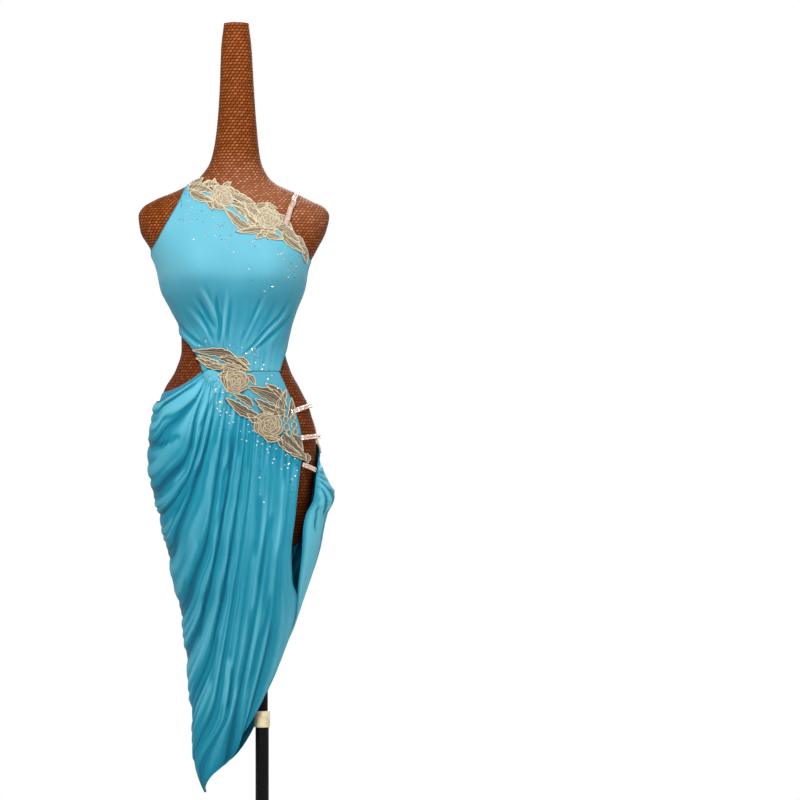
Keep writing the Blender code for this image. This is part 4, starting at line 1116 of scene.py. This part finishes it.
def rose(ground, cords, field, spot, radius, turned):
    """A corded rose: rings of overlapping petals, each set askew, round a coiled heart."""
    centre = field.flat(spot)
    round_it = np.linspace(0, 2 * math.pi, 33)
    rings = np.linspace(0.05, 0.97, 6)[:, None] * radius * (1 + 0.04 * np.sin(8 * round_it))
    level = np.full(rings.shape, 0.4)
    level[-1] = -0.5
    # The ground under the petals is painted dark, painted shade.
    ground.add(field.lay(centre + rings[..., None] * circle(round_it), level),
               grid_faces(*level.shape), fold=0.1)
    for ring, (inner, outer, count, low, high) in enumerate(PETAL_RINGS):
        for k in range(count):
            uneven = math.sin(k * 4.1 + ring * 1.7 + turned)
            direction = turned + (k + 0.37 * ring + 0.13 * uneven) * 2 * math.pi / count
            size = outer * (1 + 0.08 * uneven)
            petal(cords, field, centre, direction, inner * radius, size * radius,
                  math.pi / count * 1.25, low + 0.25 * (k % 2), high)
    turns = np.linspace(0, 2.2 * 2 * math.pi, 40)
    coil = radius * (0.02 + 0.20 * turns / turns[-1])
    thread(cords, field, centre + coil[:, None] * circle(turns + turned), 3.6, 0.9, tone=0.7)


def bar(parts, field, first, second, sag=3.0):
    """A thin twisted bar that joins two motifs."""
    first, second = field.flat(first), field.flat(second)
    share = np.linspace(0, 1, 10)[:, None]
    run = second - first
    side = unit(np.array([-run[1], run[0]]))
    thread(parts, field, first + share * run + sag * np.sin(math.pi * share) * side, 0.7, 0.8)


def loop(parts, field, spot):
    """A double ring of cord in the open mesh between two motifs."""
    centre = field.flat(spot)
    size = np.array([5.4, 7.0]) * (1 + 0.1 * math.sin(centre[1]))
    oval = size * circle(np.linspace(0, 2 * math.pi, 15))
    thread(parts, field, centre + oval, 1.2, 1.0, tone=0.75)
    thread(parts, field, centre + 0.6 * oval, 1.0, 0.7, tone=0.4)


def lace(name, body, cover, level, region, leaves, roses, bars, finish, loops=()):
    """Lace laid over the cloth: the ground of its motifs, and the cords sewn on them."""
    field = LaceField(body, cover.smooth_lifts(*region), level)
    ground, cords = Joined(), Joined()
    for row in leaves:
        leaf(ground, cords, field, *row)
    for row in roses:
        rose(ground, cords, field, *row)
    for row in bars:
        bar(cords, field, *row)
    for spot in loops:
        loop(cords, field, spot)
    return ground.make(name + "_ground", finish), cords.make(name + "_cords", finish)


# ---------------------------------------------------------------- stones and straps
def gem(parts, point, out, radius, tall, turned=0.0):
    """An eight-sided flat-backed stone with a table and a ring of facets."""
    out = out / np.linalg.norm(out)
    side = np.cross(out, [0.3, 0.2, 0.93])
    side /= np.linalg.norm(side)
    up = np.cross(out, side)
    around = turned + np.arange(8) * math.pi / 4

    def ring(size, lift, shift=0.0):
        flat = size * circle(around + shift)
        return point + out * lift + flat[:, :1] * side + flat[:, 1:] * up

    points = np.concatenate([ring(radius, -0.2), ring(radius, 0.25 * tall),
                             ring(radius * 0.52, tall, math.pi / 8)])
    girdle = ring_faces(2, 8)
    a, b, c, d = girdle.T + 8
    parts.add(points, [*girdle, *np.stack([a, b, d], -1), *np.stack([b, c, d], -1), range(16, 24)])


def scatter(parts, body, cover, edge, count, seed, sizes, fall, rise):
    """Stones strewn beside an edge, closer together near it."""
    draw = np.random.default_rng(seed)
    path = along(body.places(edge), 120)
    for _ in range(count):
        turn, height = path[int(draw.uniform(0, len(path) - 1))]
        height += rise - draw.exponential(fall)
        turn += draw.normal(0, 4.0)
        lift, point, out = cover.hit(turn, height)
        radius, turned = draw.uniform(*sizes), draw.uniform(0, 1)
        if lift > 0:
            gem(parts, point, out, radius, radius * 0.75, turned)


def strap(name, body, stops, tape_finish, stone_finish):
    """A flat elastic strap with two rows of set stones along it, and its length."""
    places = body.stations([stop[:3] for stop in stops])
    count = int(run_length(body.point(*along(places, 200).T))[-1] / 3) + 4
    path = along(places, count).T
    marks = run_length(places * [TURN_REACH, 1.0])
    lift = smooth_curve(marks, [stop[3] for stop in stops], np.linspace(0, marks[-1], count))
    centre = body.lifted(*path, lift + 0.1)
    run = np.gradient(centre, axis=0)
    side = unit(np.cross(run, body.normal(*path)))
    up = unit(np.cross(side, run))
    rings = (centre[:, None] + TAPE_SECTION[None, :, :1] * side[:, None]
             + TAPE_SECTION[None, :, 1:] * up[:, None])
    corners = np.arange(len(TAPE_SECTION))
    faces = ring_faces(count, len(corners)).tolist()
    faces += [corners[::-1].tolist(), (corners + (count - 1) * len(corners)).tolist()]
    length = run_length(centre)
    uv = np.stack(np.broadcast_arrays(TAPE_SECTION[:, 0], length[:, None]), axis=-1)
    tape, stones = Joined(), Joined()
    tape.add(rings, faces, uv * MM)
    pitch, end, beside, radius = 4.5, 1.5, 2.45, 2.05
    number = max(2, int((length[-1] - 2 * end) / pitch))
    for k in range(number + 1):
        where = end + (length[-1] - 2 * end) * k / number
        point, aside, out = (np.array([np.interp(where, length, column) for column in line.T])
                             for line in (centre, side, up))
        for row in (-1, 1):
            gem(stones, point + aside * beside * row + out * 1.15, out, radius, 1.35, 0.3 * k)
    return (tape.make(name + "_tape", tape_finish),
            stones.make(name + "_stones", stone_finish, smooth=False), length[-1])


# ---------------------------------------------------------------- pieces
def place(piece, node):
    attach(piece, "figure")
    if node:
        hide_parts(node)


def skirt_panel(name, drape, behind, crests, finish):
    """A skirt panel's grid of points, once it is made and placed."""
    hollow_width, over_yoke, clear_of_drape, half_gap = 0.085, 3.6, 1.9, 0.15
    table, leads, seed, single = ((BACK_FOLDS, BACK_LEADS, 23, BACK_CREASES) if behind else
                                  (FRONT_FOLDS, FRONT_LEADS, 11, FRONT_CREASES))
    turn, height, lift, columns, share = folded_cloth(
        drape, table, FOLD_ALONG, SKIRT_ROWS, SKIRT_PER_GAP, crests, leads)
    small = sum(creases(columns, share, *row) for row in (
        (110, seed, 1.1, (0.05, 0.17)), (60, seed + 9, 1.0, (0.04, 0.10), (-0.2, 0.2)),
        (46, seed + 13, 1.5, (0.05, 0.12), (0.3, 0.6))))
    uneven = creases(columns, share, 60, seed + 5, 0.75, (0.3, 0.7), (-0.3, 0.8))
    placed = carve(seen_from(drape.point(turn, height), not behind), single)
    near_seam = ramp(share, 1, 0.9)[:, None]
    at_start = np.maximum(ramp(share, 0, 0.05), 0.25)[:, None]
    calm = np.ones_like(lift)
    if not behind:
        # The panel hangs flat below the large rose.
        calm -= 0.75 * ramp(columns, 7.8, 9.4)[None, :] * (1 - ramp(share, 0.34, 0.70)[:, None])
    # Broad, flattish folds: the hollows are not as deep as the ridges are high.
    level = 0.42 * FOLD_HEIGHT * smooth_curve(*zip(*FOLD_ALONG), share)[:, None]
    gap = columns - np.floor(columns)
    hollow = np.exp(-(np.minimum(gap, 1 - gap) / hollow_width) ** 2)[None, :]
    spread_out = smooth_curve([0, 0.05, 0.2, 0.8, 1.0], [0.2, 0.7, 1.0, 1.0, 0.6], share)
    depth = (1.8 + 1.3 * np.clip(uneven, -1.1, 1.0)) * spread_out[:, None] * calm
    total = (0.34 * lift * calm + level * ramp(columns, 0, 0.5) + placed * near_seam
             + small * near_seam * at_start * (0.4 + 0.6 * calm)
             + seam_folds(columns, share, 31, 4.2, 9.4) - depth * hollow)
    if behind:
        round_it = (turn - 360) * FLARE_REACH
        total += carve(np.stack([round_it, height], axis=-1), FLARE_CREASES)
    # Over the yoke the gathers lie on top of it.
    beginning = np.arange(len(share)) / (LEAD_ROWS + 8)
    raised = over_yoke * np.clip(1.4 * (1 - beginning), 0, 1)
    gathered = 0.8 * np.sin(4 * math.pi * columns) + 0.5 * np.sin(columns * 17.3)
    pleated = 0.8 * np.clip(beginning * 1.6, 0, 1) * np.clip(2.2 - beginning * 1.1, 0, 1)
    total = np.maximum(total, raised[:, None]) + pleated[:, None] * gathered[None, :]
    grid = drape.lifted(turn, height, clear_of_drape + total)
    grid = grid + [0.0, half_gap if behind else -half_gap, 0.0]
    # Painted shade in the hollows and painted highlight on the ridges; besides, paler over the hips
    # and below the knee, deeper towards the point of the hem, paler on the back's flare and where
    # the front hangs flat.
    fold = (hollowness(total, SKIRT_PER_GAP, SKIRT_ROWS) + 0.55 * ramp(height, 860, 970)
            + 0.12 * ramp(height, 560, 400) - 0.45 * ramp(height, 300, 100))
    fold += 0.50 * ramp(columns, 10.8, 12.0) if behind else 0.30 * (1 - calm)
    place(cloth("cloth_" + name, grid, finish, columns * 24.0, fold), name)
    return grid


def bodice_cloth(form, finish):
    """The bodice and its grid of points: smooth over the bust, gathered to the waist."""
    rows, per_gap, clear_of_form = 180, 13, 4.0
    turn, height, lift, columns, share = folded_cloth(form, BODICE_FOLDS, GATHER_ALONG, rows,
                                                      per_gap)
    # The top row is moved on to the smooth edge, and the rows below follow it less and less.
    edge = along(form.places(BODICE_TOP), 4000)
    top = np.stack([turn[0], height[0]], axis=-1)
    nearest = np.linalg.norm((top[:, None] - edge) * [TURN_REACH, 1.0], axis=-1).argmin(axis=1)
    fade = np.linspace(1, 0, rows)[:, None] ** 2
    turn = turn + fade * (edge[nearest, 0] - turn[0])
    height = height + fade * (edge[nearest, 1] - height[0])
    small = (creases(columns, share, 44, 5, 0.45, (0.06, 0.2), (0.55, 0.85))
             * ramp(share, 0.6, 0.8)[:, None])
    placed = 0.85 * carve(seen_from(form.point(turn, height)), BODICE_CREASES, fade=0.55)
    tuck = 0.5 * ramp(share, 0.975, 1)
    total = (np.maximum(0.14 * lift + small + placed, -1.6)
             + (1.2 * ramp(share, 0.55, 0.75) - tuck)[:, None])
    height = height - 2.0 * ramp(share, 0.96, 1)[:, None]
    grid = form.lifted(turn, height, clear_of_form + total)
    # Painted light and shade by height: paler over the bust and above it, darkest under the bust, a
    # little paler again at the waist.
    painted_light_by_height = smooth_curve([1000, 1120, 1185, 1215, 1240, 1420],
                             [0.55, 0.30, 0.44, 0.72, 0.80, 0.80], height)
    fold = np.clip(hollowness(total, per_gap, rows) + painted_light_by_height, 0, 1.6)
    made = cloth("cloth_bodice", grid, finish, columns * 20.0, fold)
    place(made, "bodice_front")
    return made, grid


def yokes(form, finish, pale):
    """The front yoke and the hip band, each with its grid of points."""
    share = np.linspace(0, 1, 30)[:, None, None]
    top, foot = (along(form.places(edge), 90) for edge in (YOKE_FRONT_TOP, YOKE_FRONT_FOOT))
    strip = (1 - share) * top + share * foot
    into_seam = ramp(share[..., 0], 0.05, 0)
    front_grid = form.lifted(strip[..., 0], strip[..., 1] + 2.0 * into_seam,
                             4.4 - 1.2 * into_seam)
    # The yoke takes a paler, lit tone of the cloth: painted light.
    yoke = cloth("cloth_hip_yoke_front", front_grid, finish, fold=1.1)
    place(yoke, "hip_yoke_front")
    share = np.linspace(0, 1, 10)[:, None, None]
    strip = along(form.places(HIP_BAND_TOP), 180) - share * [0.0, HIP_BAND_DEPTH]
    back_grid = form.lifted(strip[..., 0], strip[..., 1], 1.9)
    band = cloth("cloth_hip_band", back_grid, pale, fold=0.3 + 1.1 * (back_grid[..., 1] > 0),
                 thickness=0.9)
    place(band, "hip_yoke_back")
    return yoke, front_grid, band, back_grid


def rolled_edge(name, paths, finish):
    """Fine rolled hems along the edges of a piece."""
    parts = Joined()
    for path in paths:
        parts.add(*tube(path, 0.9, path * [1, 1, 0]), fold=0.8)
    made = parts.make(name, finish)
    place(made, None)
    return made


# ---------------------------------------------------------------- scene
def area_light(name, at, aim, size, power):
    data = bpy.data.lights.new(name, "AREA")
    data.shape, data.size, data.energy = "DISK", size, power
    made = bpy.data.objects.new(name, data)
    bpy.context.scene.collection.objects.link(made)
    made.location = at
    made.rotation_euler = (Vector(aim) - Vector(at)).to_track_quat("-Z", "Y").to_euler()


def studio():
    scene = bpy.context.scene
    scene.view_settings.view_transform = "Standard"
    world = bpy.data.worlds.new("studio")
    scene.world = world
    world.use_nodes = True
    # White round the horizon and below it, dimmer overhead so that the lamps shape the folds.
    sky = Nodes(world.node_tree)
    light = sky.tree.nodes["Background"].inputs
    height = sky.axes(sky.coordinates("Generated"))[2]
    sky.put(light["Strength"], sky.span(height, 0.30, 0.62, 1.0, 0.15))
    sky.put(light["Color"], (1.0, 1.0, 1.0))
    area_light("key", (-0.35, -2.5, 3.3), (0, 0, 1.05), 0.9, 150.0)
    area_light("fill", (2.8, -2.4, 2.0), (0, 0, 0.9), 1.4, 22.0)
    area_light("back", (0.5, 3.0, 2.6), (0, 0, 1.0), 2.2, 175.0)
    # The camera looks level, turned towards the middle of the picture beside the dress.
    sensor, distance, frame_width, aside, eye = 36.0, 8.0, 1.68, 0.3476, 0.945
    data = bpy.data.cameras.new("camera")
    data.sensor_width = sensor
    data.lens = sensor * distance / frame_width
    data.clip_end = 60.0
    camera = bpy.data.objects.new("camera", data)
    scene.collection.objects.link(camera)
    camera.location = (0.0, -distance, eye)
    camera.rotation_euler = (math.pi / 2, 0.0, -math.atan(aside / distance))
    scene.camera = camera


def floor():
    """A pale round floor just under the base."""
    sides = 96
    angles = np.linspace(0, 2 * math.pi, sides, endpoint=False)
    rings = [pole_ring(angles, radius, level) for radius, level in (
        (300.0, -0.2), (700.0, -0.2), (850.0, -0.2), (856.0, -2.2), (856.0, -14.2))]
    faces = [[0, 1 + k, 1 + (k + 1) % sides] for k in range(sides)]
    faces += (grid_faces(len(rings), sides, closed=True) + 1).tolist()
    finish = Finish("studio_floor", 0.7)
    finish.done(finish.mix(finish.noise(3.0), (0.80, 0.80, 0.79), (0.85, 0.85, 0.84)))
    points = np.concatenate([[[POLE_X, 0.0, -0.2]], *rings])
    make_object("studio_floor", points, faces, finish.material)


def main():
    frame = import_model()
    studio()
    floor()

    form = Body(FORM_SECTIONS, bust=True)
    drape = Body(SKIRT_SECTIONS)
    # Each cloth runs from its colour in deep shade through a middle one to a lit one: painted shade
    # and light.
    deep, middle = (0.0, 0.075, 0.130), (0.003, 0.160, 0.235)
    blue = blue_cloth("draped_jersey", deep, middle, (0.085, 0.340, 0.430))
    smooth = blue_cloth("stretched_jersey", deep, middle, (0.088, 0.304, 0.384), 0.08)
    pale = blue_cloth("lining_band", (0.004, 0.13, 0.20), (0.05, 0.22, 0.34), (0.20, 0.36, 0.50))
    gold = gold_lace("champagne_lace", (0.050, 0.032, 0.015), (0.58, 0.47, 0.295))
    pale_gold = gold_lace("pale_champagne_lace", (0.16, 0.12, 0.065), (0.66, 0.56, 0.38))
    place(woven_form(form, rattan()), "form")

    crests = [(a.crest + b.crest) / 2 for a, b in zip(FRONT_FOLDS, BACK_FOLDS)]
    front_grid = skirt_panel("skirt_front", drape, False, crests, blue)
    back_grid = skirt_panel("skirt_back", drape, True, crests, blue)
    bodice, bodice_grid = bodice_cloth(form, smooth)
    yoke, yoke_grid, band, band_grid = yokes(form, smooth, pale)

    hem = FIRST_HEM_FOLD * SKIRT_PER_GAP
    front_hem, back_hem = (
        rolled_edge(name, [grid[:, -1], grid[-1, hem:], grid[:, 0]], blue)
        for name, grid in (("skirt_front_hem", front_grid), ("skirt_back_hem", back_grid)))
    bodice_edge = rolled_edge("bodice_edge",
                              [bodice_grid[0], bodice_grid[:, 0], bodice_grid[:, -1]], blue)

    cover = Cover(form, [front_grid, back_grid, bodice_grid, yoke_grid, band_grid])
    for name, node, level, turns, heights, *motifs in (
            ("lace_neckline", "lace_neckline", None, (10.0, 160.0), (1215.0, 1425.0),
             NECK_LEAVES, NECK_ROSES, NECK_BARS, pale_gold),
            ("lace_waist", "lace_waist", None, (0.0, 170.0), (795.0, 1065.0),
             WAIST_LEAVES, WAIST_ROSES, WAIST_BARS, gold, WAIST_LOOPS),
            ("lace_hip", "lace_hip_back", 940, (255.0, 380.0), (815.0, 1040.0),
             BACK_LEAVES, BACK_ROSES, BACK_BARS, pale_gold)):
        region = np.arange(*turns, 2.0), np.arange(*heights, 4.0)
        ground, cords = lace(name, form, cover, level, region, *motifs)
        place(ground, node)
        place(cords, None)

    clear, dark = Joined(), Joined()
    for edge, count, seed, fall, rise in STREWN:
        scatter(clear, form, cover, edge, count, seed, CLEAR_RADIUS, fall, rise)
        scatter(dark, form, cover, edge, count // 2, seed + 40, DARK_RADIUS, fall, rise)
    clear_stones = clear.make(
        "scattered_clear_stones",
        stone("clear_stones", (0.55, 0.55, 0.62), (0.95, 0.93, 0.92)), smooth=False)
    dark_stones = dark.make(
        "scattered_dark_stones",
        stone("dark_stones", (0.010, 0.022, 0.06), (0.05, 0.09, 0.16)), smooth=False)
    place(clear_stones, None)
    place(dark_stones, None)

    elastic = nude_elastic()
    blush = stone("blush_stones", (0.66, 0.43, 0.36), (0.97, 0.82, 0.76))
    for name, stops in STRAPS.items():
        tape, stones, length = strap(name, form, stops, elastic, blush)
        place(tape, name)
        place(stones, None)

    metal, plastic = black_metal(), beige_plastic()
    for name, finish in (("base_plate", metal), ("outer_tube", metal), ("inner_tube", metal),
                         ("collar", plastic)):
        node = frame["nodes"][name]
        node.data.materials.clear()
        node.data.materials.append(finish)


main()
